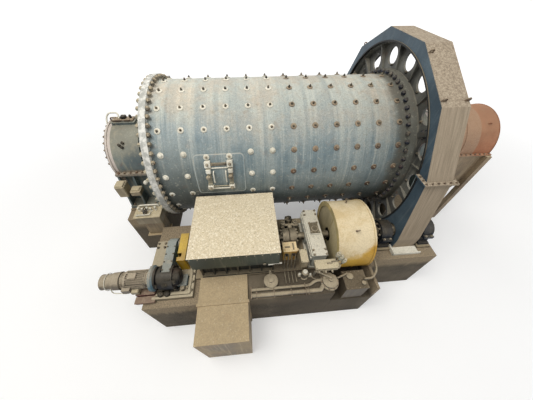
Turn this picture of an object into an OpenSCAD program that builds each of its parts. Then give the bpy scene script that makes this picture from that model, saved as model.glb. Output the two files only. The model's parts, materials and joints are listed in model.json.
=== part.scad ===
// Horizontal grinding ball mill with girth gear, pinion, clutch, motor and piers.
// Drawn in mill coordinates: x along the mill axis towards the discharge end, y away
// from the drive side, z up, zero on the mill axis at the middle of the shell.
// The module place() then moves the whole plant onto the ground. Sizes in millimetres.

/* [Shell] */
// Outside radius of the shell plate
shell_r = 1700; // [1640:5:1740]
// Length of the shell over its two end flanges
shell_len = 5640; // [5000:20:6400]
// Thickness of the shell plate
shell_plate = 40; // [25:1:60]
// How far the bolted flanges stand out beyond the shell
flange_rim = 120; // [90:5:140]
// Thickness of each bolted flange
flange_t = 68; // [40:2:90]

/* [Manhole] */
// Distance of the manhole from the feed end face of the shell
manhole_from_end = 1426; // [1200:2:2400]
// Angle of the manhole above the drive side
manhole_angle = 13.2; // [5:0.1:40]
// Width of the curved pad plate along the mill
pad_w = 1050; // [900:10:1200]
// Height of the curved pad plate, measured across its chord
pad_h = 940; // [880:10:1000]
// Corner radius of the pad plate
pad_corner_r = 80; // [40:5:120]
// Thickness of the pad plate
pad_t = 25; // [16:1:40]
// Width of the cover along the mill
cover_w = 620; // [500:5:700]
// Height of the cover, measured across its chord
cover_h = 650; // [520:10:690]
// Corner radius of the cover
cover_corner_r = 50; // [20:5:90]
// Thickness of the cover
cover_t = 34; // [20:1:50]
// Spacing of the two clamp bars
clamp_spacing = 468; // [380:2:520]
// Width of a clamp bar
clamp_w = 90; // [60:2:120]
// Thickness of a clamp bar
clamp_t = 22; // [14:1:36]
// How far the end blocks of a clamp bar stand out beyond it
clamp_block_t = 30; // [16:1:44]
// Width of the stiffening bar across the top of the cover
cover_bar_w = 60; // [40:2:90]
// Thickness of that stiffening bar
cover_bar_t = 24; // [12:1:36]

/* [Heads and trunnions] */
// Axial depth of the conical head
head_depth = 420; // [350:5:520]
// Radius of the trunnion journal
journal_r = 600; // [540:5:640]
// Radius of the bore through the trunnion
bore_r = 480; // [380:5:500]
// How far the shoulder stands out beyond the journal
shoulder_rim = 90; // [60:5:110]
// Width of the shoulder
shoulder_w = 60; // [40:5:90]
// Running clearance of the journals and shafts in their bearings
run_gap = 0.4; // [0.3:0.05:0.6]

/* [Trunnion bearings] */
// Distance from the shoulder to the bearing housing
bearing_off = 83; // [60:1:140]
// Width of the bearing housing along the mill
bearing_w = 765; // [650:5:900]
// Outside radius of the bearing housing
housing_r = 833; // [800:1:880]
// Wall of the bearing cap
cap_wall = 20; // [14:1:40]
// Height of the joint between cap and base below the mill axis
cap_joint_drop = 120; // [60:5:180]
// How far the joint flanges stand out sideways
joint_rim = 80; // [50:5:110]
// Thickness of one joint flange
joint_t = 35; // [24:1:50]
// Half width of the foot of the bearing base
foot_half_w = 1080; // [980:10:1200]
// Thickness of the foot of the bearing base
foot_t = 70; // [50:5:100]

/* [Feed spout] */
// Length of the spout outside the bearing housing
spout_len = 260; // [200:5:400]
// Outside radius of the spout pipe
spout_r = 300; // [240:5:360]
// Wall of the spout pipe
spout_wall = 20; // [12:1:30]
// Thickness of the spout's flange and of its end cover
spout_flange_t = 30; // [20:1:45]
// How far the spout's flange stands out beyond the pipe
spout_flange_rim = 110; // [90:5:140]
// Radius of the bolt holes in the spout's flange
spout_hole_r = 13; // [10:0.5:18]

/* [Girth gear and pinion] */
// Tooth module
tooth_module = 28; // [27:0.25:28.5]
// Teeth of the pinion
pinion_teeth = 18; // [18:1:20]
// Backlash between the teeth
backlash = 3; // [2:0.5:4]
// Face width of the girth gear
gear_face = 380; // [320:10:400]
// Height of the gear's web between the head flange and the rim
spoke_h = 529; // [500:1:580]
// Thickness of the rim under the teeth
rim_t = 80; // [60:5:100]
// Thickness of the web
web_t = 50; // [36:2:64]
// Thickness of the mounting ring bolted to the head flange
hub_t = 60; // [45:5:80]
// Width of the mounting ring
hub_w = 155; // [120:5:160]
// Number of ribs
rib_count = 18; // [14:2:22]
// Angle of the gear's split joint above the drive side
joint_angle = 36; // [0:1:60]
// Radius of the round lightening holes between the ribs
lightening_r = 190; // [120:5:210]
// Thickness of a rib
rib_t = 40; // [28:2:50]
// Thickness of the two joint ribs together
joint_rib_t = 110; // [90:2:130]
// Angle of the pinion below the mill axis
pinion_angle = 19.4; // [18:0.1:21]
// How much wider the pinion is than the gear
pinion_extra = 20; // [10:5:40]

/* [Gear guard] */
// Clearance between the gear tips and the flat panels of the guard
guard_clear = 64; // [50:2:90]
// Sheet thickness of the guard
guard_sheet = 10; // [6:1:14]
// Clearance between the gear face and the drive side plate
guard_side_clear = 64; // [50:2:80]
// Width of the guard along the mill
guard_w = 546; // [530:2:600]
// Height of the guard's joint above the mill axis
guard_joint_z = 688; // [600:4:760]
// Width of the joint flanges
guard_flange_rim = 80; // [50:5:100]
// Thickness of one joint flange
guard_flange_t = 16; // [10:1:24]
// How far the round opening lies inside the gear tips
guard_lip = 115; // [90:5:130]
// Width of the sealing strip round the opening
seal_w = 26; // [16:1:36]
// How far the sealing strip stands out from the plate
seal_t = 22; // [12:1:30]
// Clearance between the pinion tips and the guard's front panel
pinion_clear = 48; // [36:2:70]

/* [Drive line] */
// Radius of the pinion shaft
shaft_r = 130; // [110:5:140]
// Radius of the pinion's seat on the shaft
seat_r = 150; // [145:1:165]
// Radius of the motor shaft
motor_shaft_r = 90; // [75:5:100]
// Radius of the clutch discs
clutch_r = 620; // [560:5:680]
// Width of the clutch
clutch_w = 520; // [440:10:560]
// Width of a pinion bearing along its shaft
block_w = 260; // [220:5:290]
// Outside radius of a pinion bearing
block_r = 255; // [230:5:265]

/* [Clutch guard] */
// Outside radius of the clutch guard
drum_r = 797; // [760:1:820]
// Distance of the clutch guard's near end from the middle of the shell
drum_x0 = 1020; // [990:5:1060]
// Length of the clutch guard
drum_len = 825; // [780:5:840]
// Sheet thickness of the clutch guard
drum_sheet = 10; // [6:1:14]
// Radius of the opening in the near end
drum_open_r = 690; // [660:5:720]
// Radius of the opening in the far end
drum_back_open_r = 300; // [200:10:420]

/* [Motor] */
// Length of the motor hood along the shaft
hood_len = 1800; // [1600:10:1900]
// Width of the motor hood across the shaft
hood_w = 1598; // [1500:2:1660]
// Height of the motor hood
hood_h = 476; // [400:2:560]
// How far the motor shaft stands out beyond the feed end of the motor hood
motor_tail = 440; // [420:5:500]
// Height of the motor hood's top above the shaft
hood_top = 749; // [700:1:800]
// Distance of the motor hood's drive end from the middle of the shell
hood_x1 = -240; // [-300:5:-200]
// How far the motor frame stands back under the hood at its ends
frame_inset_x = 100; // [60:5:160]
// How far the motor frame stands back under the hood at its sides
frame_inset_y = 170; // [120:5:240]
// Sheet thickness of the hood's top, which laps over its sides
hood_lap = 12; // [6:1:20]
// Half width of the motor's base plate
base_half = 735; // [700:5:760]
// Distance from the shaft line to the front of the air duct
duct_reach = 2030; // [1700:10:2200]
// Width of the air duct along the mill
duct_w = 1040; // [900:10:1200]

/* [Outboard bearing and boxes] */
// Distance of the outboard bearing from the middle of the shell
pedestal_x = 500; // [480:2:540]
// Width of the outboard bearing's housing along the shaft
pedestal_w = 320; // [280:5:340]
// Distance from the shaft line to the back of that housing
pedestal_rear = 550; // [500:5:620]
// Distance from the shaft line to the front of that housing
pedestal_front = 700; // [620:5:720]
// Height of its cover above the shaft
pedestal_top = 290; // [260:5:320]
// Width of the brush guard along the shaft
brush_w = 320; // [240:5:330]
// Depth of the brush guard across the shaft
brush_depth = 250; // [220:5:300]
// Width of the switch box
switch_w = 160; // [120:5:165]
// Depth of the switch box
switch_depth = 310; // [200:5:340]
// Width of the junction box along the mill
junction_w = 500; // [360:5:520]
// Depth of the junction box
junction_depth = 205; // [160:5:240]
// Height of the junction box
junction_h = 130; // [90:5:160]
// Length of the lubrication tank along the mill
tank_len = 520; // [400:10:600]
// Width of the lubrication tank across the mill
tank_w = 420; // [360:10:460]

/* [Inching drive] */
// Distance from the motor shaft's end to the adapter disc of the inching motor
inch_disc_off = 440; // [440:5:470]
// Distance from the shaft line to the axis of the inching motor
inch_off = 770; // [740:5:820]
// Length of the inching motor
inch_motor_len = 1010; // [900:10:1100]
// Radius of the ribbed body of the inching motor
inch_motor_r = 178; // [150:2:200]
// Radius of the adapter disc
inch_disc_r = 265; // [240:5:290]
// Thickness of the adapter disc
inch_disc_t = 80; // [60:5:85]
// Radius of the reducer's gear case
reducer_r = 250; // [220:5:265]
// Length of the reducer's gear case
reducer_w = 500; // [450:5:520]
// Width of the arm that carries the inching gear
arm_w = 190; // [160:5:220]
// Half width of the coupling guard
inch_guard_half = 190; // [170:5:240]
// Width of a rail on the inching base
rail_w = 50; // [40:2:56]

/* [Discharge hood] */
// Outside radius of the discharge hood
cover_r = 884; // [860:1:920]
// Length of the discharge hood
cover_len = 1750; // [1500:10:1900]
// Sheet thickness of the discharge hood and chute
cover_sheet = 12; // [8:1:16]
// Depth of the chute's straight part
chute_straight = 860; // [760:10:940]
// Depth of the chute's tapered part
chute_taper = 800; // [600:10:900]
// Length of the chute's outlet along the mill
outlet_len = 850; // [700:10:1000]

/* [Piers] */
// Height of the legs under the gear guard
leg_h = 234; // [200:2:600]
// Width of a leg under the gear guard
leg_w = 120; // [80:5:160]
// Height of the pinion shaft above the pier tops
shaft_h = 348; // [332:2:400]
// Thickness of the steel sole plates on the piers
sole_t = 60; // [40:5:80]
// How far a trunnion bearing pier stands out beyond its bearing housing
pier_margin = 40; // [30:1:60]
// Half width of a trunnion bearing pier across the mill
pier_half = 1450; // [1250:10:1600]
// Depth of the pit for the clutch below the shaft
pit_depth = 880; // [860:5:920]
// Distance from the shaft line to the back of the drive pier
drive_rear = 782; // [740:2:800]
// Distance from the shaft line to the front of the drive pier
drive_front = 1278; // [1200:2:1400]
// Length of the drive pier beyond the feed end of the motor hood
drive_end = 1110; // [1080:5:1300]
// Distance from the shaft line to the back of the pinion's pier
pinion_rear = 262; // [250:2:270]

/* [Hidden] */
$fn = 96;

// Shell, heads and trunnions.
shell_half = shell_len / 2;
shell_in = shell_r - shell_plate;
flange_r = shell_r + flange_rim;
head_x = shell_half + flange_t;
cone_r = shell_r - 45;
collar_x = shell_half + head_depth;
bearing_x0 = collar_x + shoulder_w + bearing_off;
bearing_x1 = bearing_x0 + bearing_w;
feed_tail = 40;
discharge_tail = 230;
joint_z = -cap_joint_drop;
seal_gap = 14;

// Gear and pinion.
pressure_angle = 20;
gear_teeth = 2 * round((flange_r + spoke_h + rim_t) / tooth_module + 1.25);
gear_pitch_r = tooth_module * gear_teeth / 2;
pinion_pitch_r = tooth_module * pinion_teeth / 2;
gear_tip = gear_pitch_r + tooth_module;
pinion_tip = pinion_pitch_r + tooth_module;
gear_root = gear_pitch_r - 1.25 * tooth_module;
pinion_root = pinion_pitch_r - 1.25 * tooth_module;
pinion_base_r = pinion_pitch_r * cos(pressure_angle);
centre_distance = gear_pitch_r + pinion_pitch_r;
mesh_angle = 180 + pinion_angle;
pin_y = centre_distance * cos(mesh_angle);
pin_z = centre_distance * sin(mesh_angle);
gear_mid = head_x + hub_t;
rim_in = gear_root - rim_t;
pinion_face = gear_face + pinion_extra;

// Guard.
guard_flat_r = gear_tip + guard_clear + guard_sheet;
guard_corner_r = guard_flat_r / cos(15);
guard_x0 = gear_mid - gear_face / 2 - guard_side_clear - guard_sheet;
guard_x1 = guard_x0 + guard_w;
guard_open_r = gear_tip - guard_lip;
guard_front_y = pin_y - pinion_tip - pinion_clear;
shaft_hole_r = shaft_r + 40;

// Piers.
pier_z = pin_z - shaft_h;
axis_h = guard_flat_r + leg_h;
ground_z = -axis_h;
sole_z = pier_z + sole_t;

// Drive line.
block_space = 120;
block1_x = guard_x0 - block_space - block_w;
block2_x = guard_x1 + block_space;
clutch_x = drum_x0 + (drum_len - clutch_w) / 2;
drum_x1 = drum_x0 + drum_len;
hood_x0 = hood_x1 - hood_len;
hood_z1 = pin_z + hood_top;
hood_z0 = hood_z1 - hood_h;
motor_shaft_x0 = hood_x0 - motor_tail;
drive_rear_y = pin_y + drive_rear;
drive_front_y = pin_y - drive_front;
pinion_pier_rear_y = pin_y + pinion_rear;
drive_x0 = hood_x0 - drive_end;
drive_x1 = block2_x + block_w + 100;
pit_z = pin_z - pit_depth;

// Discharge hood and chute.
cover_x0 = bearing_x1 + pier_margin + 12;
cover_x1 = cover_x0 + cover_len;
chute_top = -20;

// Overall extents, used to centre the plant over its origin.
duct_front_y = pin_y - duct_reach;
extent_x0 = -bearing_x1 - spout_flange_t - spout_len;
extent_x1 = cover_x1;
extent_y0 = duct_front_y;
extent_y1 = guard_flat_r + guard_flange_rim;

// Moves a piece from mill coordinates onto the ground, centred over the origin.
module place() {
    translate([-(extent_x0 + extent_x1) / 2, -(extent_y0 + extent_y1) / 2, axis_h])
        children();
}

// A box given by its two corners.
module block(x0, x1, y0, y1, z0, z1) {
    translate([x0, y0, z0]) cube([x1 - x0, y1 - y0, z1 - z0]);
}

// Extrudes a y-z profile along the mill axis.
module along_x(x0, length) {
    translate([x0, 0, 0]) rotate([90, 0, 90]) linear_extrude(length) children();
}

// Extrudes an x-z profile across the mill, from y0 towards +y.
module across_y(y0, length) {
    translate([0, y0 + length, 0]) rotate([90, 0, 0]) linear_extrude(length) children();
}

// Revolves a radius-x profile about the mill axis.
module turned_x() {
    rotate([0, 90, 0]) rotate_extrude() children();
}

// Moves to the shaft line of the drive.
module on_shaft_line() {
    translate([0, pin_y, pin_z]) children();
}

// A rectangle in radius and x.
module band(r0, r1, x0, x1) {
    translate([r0, x0]) square([r1 - r0, x1 - x0]);
}

// A cylinder along x.
module bar_x(r, x0, x1) {
    translate([x0, 0, 0]) rotate([0, 90, 0]) cylinder(r = r, h = x1 - x0);
}

// A rectangle with round corners, centred on its own middle.
module rounded(w, h, r) {
    square([w - 2 * r, h], center = true);
    square([w, h - 2 * r], center = true);
    for (sx = [-1, 1], sy = [-1, 1]) translate([sx * (w / 2 - r), sy * (h / 2 - r)]) circle(r);
}

// Involute of a circle, in degrees of turn at radius r for base radius rb.
function involute(r, rb) = tan(acos(rb / r)) * 180 / PI - acos(rb / r);

// Half the angular thickness of a tooth at radius r.
function half_tooth(r, n) =
    let (rb = tooth_module * n / 2 * cos(pressure_angle))
    90 / n - backlash / 2 / (tooth_module * n) * 180 / PI
    + involute(tooth_module * n / 2, rb) - involute(max(r, rb), rb);

// Outline of a toothed wheel, with each flank through the given radii.
function toothed(n, radii) = [
    for (i = [0 : n - 1])
        for (side = [-1, 1])
            for (k = [0 : len(radii) - 1])
                let (r = radii[side < 0 ? k : len(radii) - 1 - k],
                     a = 360 * i / n + side * half_tooth(r, n))
                [r * cos(a), r * sin(a)]
];

// Moves every edge of an anticlockwise outline inwards by t.
function unit(v) = v / norm(v);
function inward(a, b) = let (d = unit(b - a)) [-d[1], d[0]];
function inset(p, t) = [
    for (i = [0 : len(p) - 1])
        let (n1 = inward(p[(i + len(p) - 1) % len(p)], p[i]),
             n2 = inward(p[i], p[(i + 1) % len(p)]))
        p[i] + t * (n1 + n2) / (1 + n1 * n2)
];

// Shell and manhole.

manhole_x = -shell_half + manhole_from_end;
hole_margin = 60;
hole_corner_r = 60;
fine_steps = 480;

// Extrudes a drawing from the mill axis outwards through the manhole.
module facing_manhole(reach) {
    rotate([-manhole_angle, 0, 0]) translate([manhole_x, 0, 0]) rotate([90, 0, 0])
        linear_extrude(reach) children();
}

// A plate rolled to the shell, from radius r0 to r1, with the drawing as its outline.
module rolled_plate(r0, r1) {
    intersection() {
        turned_x($fn = fine_steps) band(r0, r1, manhole_x - pad_w, manhole_x + pad_w);
        facing_manhole(2 * shell_r) children();
    }
}

module manhole_opening() {
    facing_manhole(2 * shell_r)
        rounded(cover_w - 2 * hole_margin, cover_h - 2 * hole_margin, hole_corner_r);
}

module shell() {
    color([0.43, 0.49, 0.5]) place() difference() {
        turned_x() polygon([
            [shell_in, -shell_half], [flange_r, -shell_half],
            [flange_r, flange_t - shell_half], [shell_r, flange_t - shell_half],
            [shell_r, shell_half - flange_t], [flange_r, shell_half - flange_t],
            [flange_r, shell_half], [shell_in, shell_half]]);
        manhole_opening();
    }
}

pad_r0 = shell_r + 0.3;
pad_r1 = shell_r + pad_t;

module manhole_pad() {
    color([0.45, 0.51, 0.52]) place() difference() {
        rolled_plate(pad_r0, pad_r1) rounded(pad_w, pad_h, pad_corner_r);
        manhole_opening();
    }
}

cover_r0 = pad_r1 + 0.3;
cover_r1 = cover_r0 + cover_t;
clamp_slot = 6;

module manhole_cover() {
    color([0.4, 0.46, 0.48]) place() {
        rolled_plate(cover_r0, cover_r1) rounded(cover_w, cover_h, cover_corner_r);
        difference() {
            rolled_plate(cover_r1 - 1, cover_r1 + cover_bar_t)
                translate([0, cover_h / 2 - cover_bar_w])
                    square([cover_w - 2 * cover_corner_r, cover_bar_w], center = true);
            for (side = [-1, 1]) facing_manhole(2 * shell_r)
                translate([side * clamp_spacing / 2, cover_h / 2])
                    square([clamp_w + 2 * clamp_slot, cover_h], center = true);
        }
    }
}

// Clamp bars over the cover, each with two end blocks and a nut, and a rod that ties them.

clamp_high = 11.9;
clamp_low = -10.7;
clamp_block_sweep = 6.2;
clamp_r0 = cover_r1 + 0.3;
clamp_r1 = clamp_r0 + clamp_t;
clamp_r2 = clamp_r1 + clamp_block_t;
nut_r = 40;
rod_r = 12;

// A disc sector in the y-z plane; its angles are measured upwards from the manhole's middle.
module disc_sector(r, a0, a1) {
    intersection() {
        circle(r, $fn = fine_steps);
        polygon([[0, 0], 2 * r * [-cos(manhole_angle + a0), sin(manhole_angle + a0)],
                 2 * r * [-cos(manhole_angle + a1), sin(manhole_angle + a1)]]);
    }
}

module manhole_clamps() {
    color([0.62, 0.62, 0.56]) place() {
        for (side = [-1, 1]) {
            clamp_x = manhole_x + side * clamp_spacing / 2;
            along_x(clamp_x - clamp_w / 2, clamp_w) difference() {
                union() {
                    disc_sector(clamp_r1, clamp_low, clamp_high);
                    disc_sector(clamp_r2, clamp_high - clamp_block_sweep, clamp_high);
                    disc_sector(clamp_r2, clamp_low, clamp_low + clamp_block_sweep);
                }
                circle(clamp_r0, $fn = fine_steps);
            }
            rotate([-manhole_angle, 0, 0]) translate([clamp_x, -clamp_r1 + 1, 0])
                rotate([90, 0, 0]) cylinder(r = nut_r, h = clamp_block_t, $fn = 6);
        }
        rotate([-manhole_angle - clamp_low - clamp_block_sweep / 2, 0, 0])
            translate([0, -(clamp_r0 + clamp_r2) / 2, 0])
                bar_x(rod_r, manhole_x - clamp_spacing / 2, manhole_x + clamp_spacing / 2);
    }
}

// Heads: bolted flange, cone, shoulder and journal, from the shell's end face outwards.
module head(tail) {
    turned_x() polygon([
        [shell_in, shell_half], [flange_r, shell_half], [flange_r, head_x],
        [cone_r, head_x], [journal_r + shoulder_rim, collar_x],
        [journal_r + shoulder_rim, collar_x + shoulder_w],
        [journal_r, collar_x + shoulder_w], [journal_r, tail],
        [bore_r, tail], [bore_r, collar_x - shoulder_w / 2]]);
}

module feed_head() {
    color([0.42, 0.48, 0.5]) place() mirror([1, 0, 0]) head(bearing_x1 - feed_tail);
}

module discharge_head() {
    color([0.42, 0.48, 0.5]) place() head(bearing_x1 + discharge_tail);
}

// Girth gear: toothed rim, web with round lightening holes, ribs and two joint ribs.

rib_root = flange_r - 10;
rib_pitch = 360 / rib_count;
lightening_pos = (flange_r + rim_in) / 2;
rim_seat = 6;
first_rib = 180 - joint_angle;

// A rib that grows wider along the mill from the head's flange to the rim.
module rib(thickness) {
    translate([0, 0, -thickness / 2]) linear_extrude(thickness) polygon([
        [rib_root, gear_mid - web_t], [rim_in + rim_seat, gear_mid - 3 * web_t],
        [rim_in + rim_seat, gear_mid + 3 * web_t], [rib_root, gear_mid + web_t]]);
}

module girth_gear() {
    color([0.5, 0.52, 0.5]) place() {
        along_x(gear_mid - gear_face / 2, gear_face) difference() {
            rotate(mesh_angle + 180 / gear_teeth)
                polygon(toothed(gear_teeth, [gear_root, gear_pitch_r, gear_tip]));
            circle(rim_in);
        }
        turned_x() band(flange_r - hub_w, flange_r, head_x, gear_mid);
        along_x(gear_mid - web_t / 2, web_t) difference() {
            circle(rim_in + rim_seat);
            circle(flange_r - hub_w / 2);
            for (i = [0 : rib_count - 1]) rotate(first_rib + (i + 0.5) * rib_pitch)
                translate([lightening_pos, 0]) circle(lightening_r);
        }
        for (i = [0 : rib_count - 1]) rotate([first_rib + i * rib_pitch, 0, 0])
            rotate([0, 0, 90]) mirror([0, 1, 0])
                rib(i % (rib_count / 2) == 0 ? joint_rib_t : rib_t);
    }
}

// Pinion, its shaft and the clutch.

module pinion() {
    color([0.45, 0.44, 0.4]) place() on_shaft_line() difference() {
        along_x(gear_mid - pinion_face / 2, pinion_face) rotate(mesh_angle + 180)
            polygon(toothed(pinion_teeth, [pinion_root, pinion_base_r,
                (pinion_base_r + pinion_pitch_r) / 2, pinion_pitch_r,
                pinion_pitch_r + tooth_module / 2, pinion_tip]));
        bar_x(seat_r + 0.3, gear_mid - pinion_face, gear_mid + pinion_face);
    }
}

shaft_collar_r = seat_r + 35;
shaft_collar_w = 24;
shaft_end_x = block2_x + block_w + 40;
hub_r = shaft_r + 110;

module pinion_shaft() {
    color([0.4, 0.4, 0.38]) place() on_shaft_line() turned_x() polygon([
        [0, clutch_x + clutch_w / 2], [shaft_r, clutch_x + clutch_w / 2],
        [shaft_r, gear_mid - pinion_face / 2 - shaft_collar_w],
        [shaft_collar_r, gear_mid - pinion_face / 2 - shaft_collar_w],
        [shaft_collar_r, gear_mid - pinion_face / 2],
        [seat_r, gear_mid - pinion_face / 2], [seat_r, gear_mid + pinion_face / 2],
        [shaft_r, gear_mid + pinion_face / 2], [shaft_r, shaft_end_x],
        [0, shaft_end_x]]);
}

clutch_disc_t = 50;

module clutch() {
    color([0.2, 0.21, 0.22]) place() on_shaft_line() turned_x() union() {
        band(shaft_r + 0.3, hub_r, clutch_x + clutch_w / 2, clutch_x + clutch_w);
        band(hub_r - 1, clutch_r, clutch_x + clutch_w - clutch_disc_t, clutch_x + clutch_w);
        band(clutch_r - 60, clutch_r, clutch_x + 60, clutch_x + clutch_w);
        band(0, hub_r, clutch_x, clutch_x + clutch_w / 2);
        band(hub_r - 1, clutch_r - 75, clutch_x, clutch_x + clutch_disc_t);
        band(clutch_r - 90, clutch_r - 62, clutch_x, clutch_x + clutch_w / 2);
    }
}

coupling_r = 210;
coupling_w = 150;
inch_flange_r = 140;

module motor_shaft() {
    color([0.35, 0.35, 0.34]) place() on_shaft_line() turned_x() union() {
        band(0, motor_shaft_r, motor_shaft_x0, clutch_x);
        band(motor_shaft_r - 1, coupling_r, hood_x1 + 170, hood_x1 + 170 + coupling_w);
        band(motor_shaft_r - 1, coupling_r, hood_x1 + 340, hood_x1 + 340 + coupling_w);
        band(motor_shaft_r - 1, inch_flange_r, motor_shaft_x0, motor_shaft_x0 + 90);
    }
}

// Pinion bearings: split pillow blocks with joint flanges and round end covers.

block_foot = 330;
block_foot_t = 60;
block_joint_rim = 70;
block_joint_t = 34;
block_cover_r = shaft_r + 80;
block_cover_t = 22;
foot_margin = 10;

module bearing_block(x0) {
    difference() {
        union() {
            on_shaft_line() bar_x(block_r, x0, x0 + block_w);
            on_shaft_line() bar_x(block_cover_r, x0 - block_cover_t, x0 + block_w + block_cover_t);
            block(x0, x0 + block_w, pin_y - block_r, pin_y + block_r, sole_z, pin_z);
            block(x0, x0 + block_w, pin_y - block_foot, pin_y + pinion_rear - foot_margin,
                  sole_z, sole_z + block_foot_t);
            block(x0 + foot_margin, x0 + block_w - foot_margin,
                  pin_y - block_r - block_joint_rim, pin_y + block_r + block_joint_rim,
                  pin_z - block_joint_t, pin_z + block_joint_t);
        }
        on_shaft_line() bar_x(shaft_r + run_gap, x0 - block_w, x0 + 2 * block_w);
    }
}

module pinion_bearing_inner() {
    color([0.16, 0.22, 0.3]) place() bearing_block(block1_x);
}

module pinion_bearing_outer() {
    color([0.16, 0.22, 0.3]) place() bearing_block(block2_x);
}

module pinion_sole_plates() {
    color([0.5, 0.46, 0.4]) place() for (x0 = [block1_x, block2_x])
        block(x0 - 40, x0 + block_w + 40, pin_y - block_foot - 60,
              pinion_pier_rear_y, pier_z, sole_z);
}

// Gear guard: a twelve-sided trough that flares over the pinion on the drive side.

function corner(a) = [guard_corner_r * cos(a), guard_corner_r * sin(a)];
sump_t = (pier_z - corner(195)[1]) / (corner(225)[1] - corner(195)[1]);
sump_rear = corner(195) + sump_t * (corner(225) - corner(195));
guard_outline = concat(
    [for (a = [15 : 30 : 165]) corner(a)],
    [[guard_front_y, pin_z], [guard_front_y, pier_z], sump_rear],
    [for (a = [225 : 30 : 345]) corner(a)]);

module guard_body() {
    difference() {
        along_x(guard_x0, guard_w) polygon(guard_outline);
        along_x(guard_x0 + guard_sheet, guard_w - 2 * guard_sheet)
            polygon(inset(guard_outline, guard_sheet));
        bar_x(guard_open_r, guard_x0 - 1, guard_x1 + 1);
        on_shaft_line() bar_x(shaft_hole_r, guard_x0 - 1, guard_x1 + 1);
    }
}

// Flange round the guard's joint, from height z0 to z1.
module guard_joint(z0, z1) {
    difference() {
        block(guard_x0 - guard_flange_rim, guard_x1 + guard_flange_rim,
              -guard_flat_r - guard_flange_rim, guard_flat_r + guard_flange_rim, z0, z1);
        block(guard_x0 + guard_sheet, guard_x1 - guard_sheet,
              -guard_flat_r + guard_sheet, guard_flat_r - guard_sheet, z0 - 1, z1 + 1);
        bar_x(guard_open_r + seal_w, guard_x0 - 2 * guard_flange_rim,
              guard_x1 + 2 * guard_flange_rim);
    }
}

module gear_guard_upper() {
    color([0.3, 0.37, 0.41]) place() {
        intersection() {
            guard_body();
            block(guard_x0 - 1, guard_x1 + 1, -2 * guard_flat_r, 2 * guard_flat_r,
                  guard_joint_z, 2 * guard_flat_r);
        }
        guard_joint(guard_joint_z, guard_joint_z + guard_flange_t);
    }
}

module gear_guard_lower() {
    color([0.3, 0.37, 0.41]) place() {
        intersection() {
            guard_body();
            block(guard_x0 - 1, guard_x1 + 1, -2 * guard_flat_r, 2 * guard_flat_r,
                  -2 * guard_flat_r, guard_joint_z);
        }
        guard_joint(guard_joint_z - guard_flange_t, guard_joint_z);
    }
}

module guard_seal() {
    color([0.05, 0.05, 0.05]) place() turned_x()
        band(guard_open_r - 12, guard_open_r + seal_w - 6, guard_x0 - seal_t, guard_x0);
}

leg_y = 500;
leg_foot_t = 20;

module guard_legs() {
    color([0.35, 0.36, 0.34]) place() for (side = [-1, 1], x0 = [guard_x0, guard_x1 - leg_w]) {
        block(x0, x0 + leg_w, side * leg_y - leg_w / 2, side * leg_y + leg_w / 2,
              ground_z + leg_foot_t, -guard_flat_r);
        block(x0 - leg_w / 4, x0 + leg_w * 5 / 4, side * leg_y - leg_w, side * leg_y + leg_w,
              ground_z, ground_z + leg_foot_t);
    }
}

// Trunnion bearings, drawn at the discharge end and mirrored for the feed end.

base_inset = 45;
saddle_inset = 70;
base_ribs = 3;
base_rib_t = 45;

module bearing_base() {
    difference() {
        union() {
            block(bearing_x0 + base_inset, bearing_x1 - base_inset, -housing_r + saddle_inset,
                  housing_r - saddle_inset, sole_z, joint_z);
            block(bearing_x0, bearing_x1, -foot_half_w, foot_half_w, sole_z, sole_z + foot_t);
            block(bearing_x0, bearing_x1, -housing_r - joint_rim, housing_r + joint_rim,
                  joint_z - joint_t, joint_z);
            for (i = [0 : base_ribs - 1])
                along_x(bearing_x0 + i * (bearing_w - base_rib_t) / (base_ribs - 1), base_rib_t)
                    polygon([
                        [-foot_half_w + joint_t, sole_z + foot_t - 1],
                        [foot_half_w - joint_t, sole_z + foot_t - 1],
                        [housing_r + joint_rim / 2, joint_z - joint_t + 1],
                        [-housing_r - joint_rim / 2, joint_z - joint_t + 1]]);
        }
        bar_x(journal_r + run_gap, bearing_x0 - 1, bearing_x1 + 1);
    }
}

cap_ring = 27;
cap_ring_w = 40;
hatch_w = 520;
hatch_half = 120;
hatch_h = 45;
hatch_lid_t = 16;
hatch_lid_rim = 20;
bearing_mid_x = (bearing_x0 + bearing_x1) / 2;

module bearing_cap() {
    difference() {
        union() {
            bar_x(housing_r, bearing_x0, bearing_x1);
            bar_x(housing_r + cap_ring, bearing_x1 - cap_ring_w, bearing_x1);
            block(bearing_x0, bearing_x1, -housing_r - joint_rim, housing_r + joint_rim,
                  joint_z, joint_z + joint_t);
            block(bearing_mid_x - hatch_w / 2, bearing_mid_x + hatch_w / 2,
                  -hatch_half, hatch_half, 0, housing_r + hatch_h);
            block(bearing_mid_x - hatch_w / 2 - hatch_lid_rim,
                  bearing_mid_x + hatch_w / 2 + hatch_lid_rim,
                  -hatch_half - hatch_lid_rim, hatch_half + hatch_lid_rim,
                  housing_r + hatch_h - 1, housing_r + hatch_h + hatch_lid_t);
        }
        bar_x(housing_r - cap_wall, bearing_x0 + cap_wall, bearing_x1 - cap_wall);
        bar_x(journal_r + seal_gap, bearing_x0 - 1, bearing_x1 + 1);
        block(bearing_x0 - 1, bearing_x1 + 1, -2 * housing_r, 2 * housing_r,
              -2 * housing_r, joint_z);
    }
}

module feed_bearing_base() {
    color([0.36, 0.4, 0.4]) place() mirror([1, 0, 0]) bearing_base();
}

module feed_bearing_cap() {
    color([0.42, 0.47, 0.47]) place() mirror([1, 0, 0]) bearing_cap();
}

module discharge_bearing_base() {
    color([0.36, 0.4, 0.4]) place() bearing_base();
}

module discharge_bearing_cap() {
    color([0.42, 0.47, 0.47]) place() bearing_cap();
}

spout_in = spout_r - spout_wall;
spout_flange_r = spout_r + spout_flange_rim;
spout_bolt_r = spout_r + spout_flange_rim / 2;
spout_x = bearing_x1 + spout_flange_t + spout_len;
spout_bolts = 12;

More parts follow.
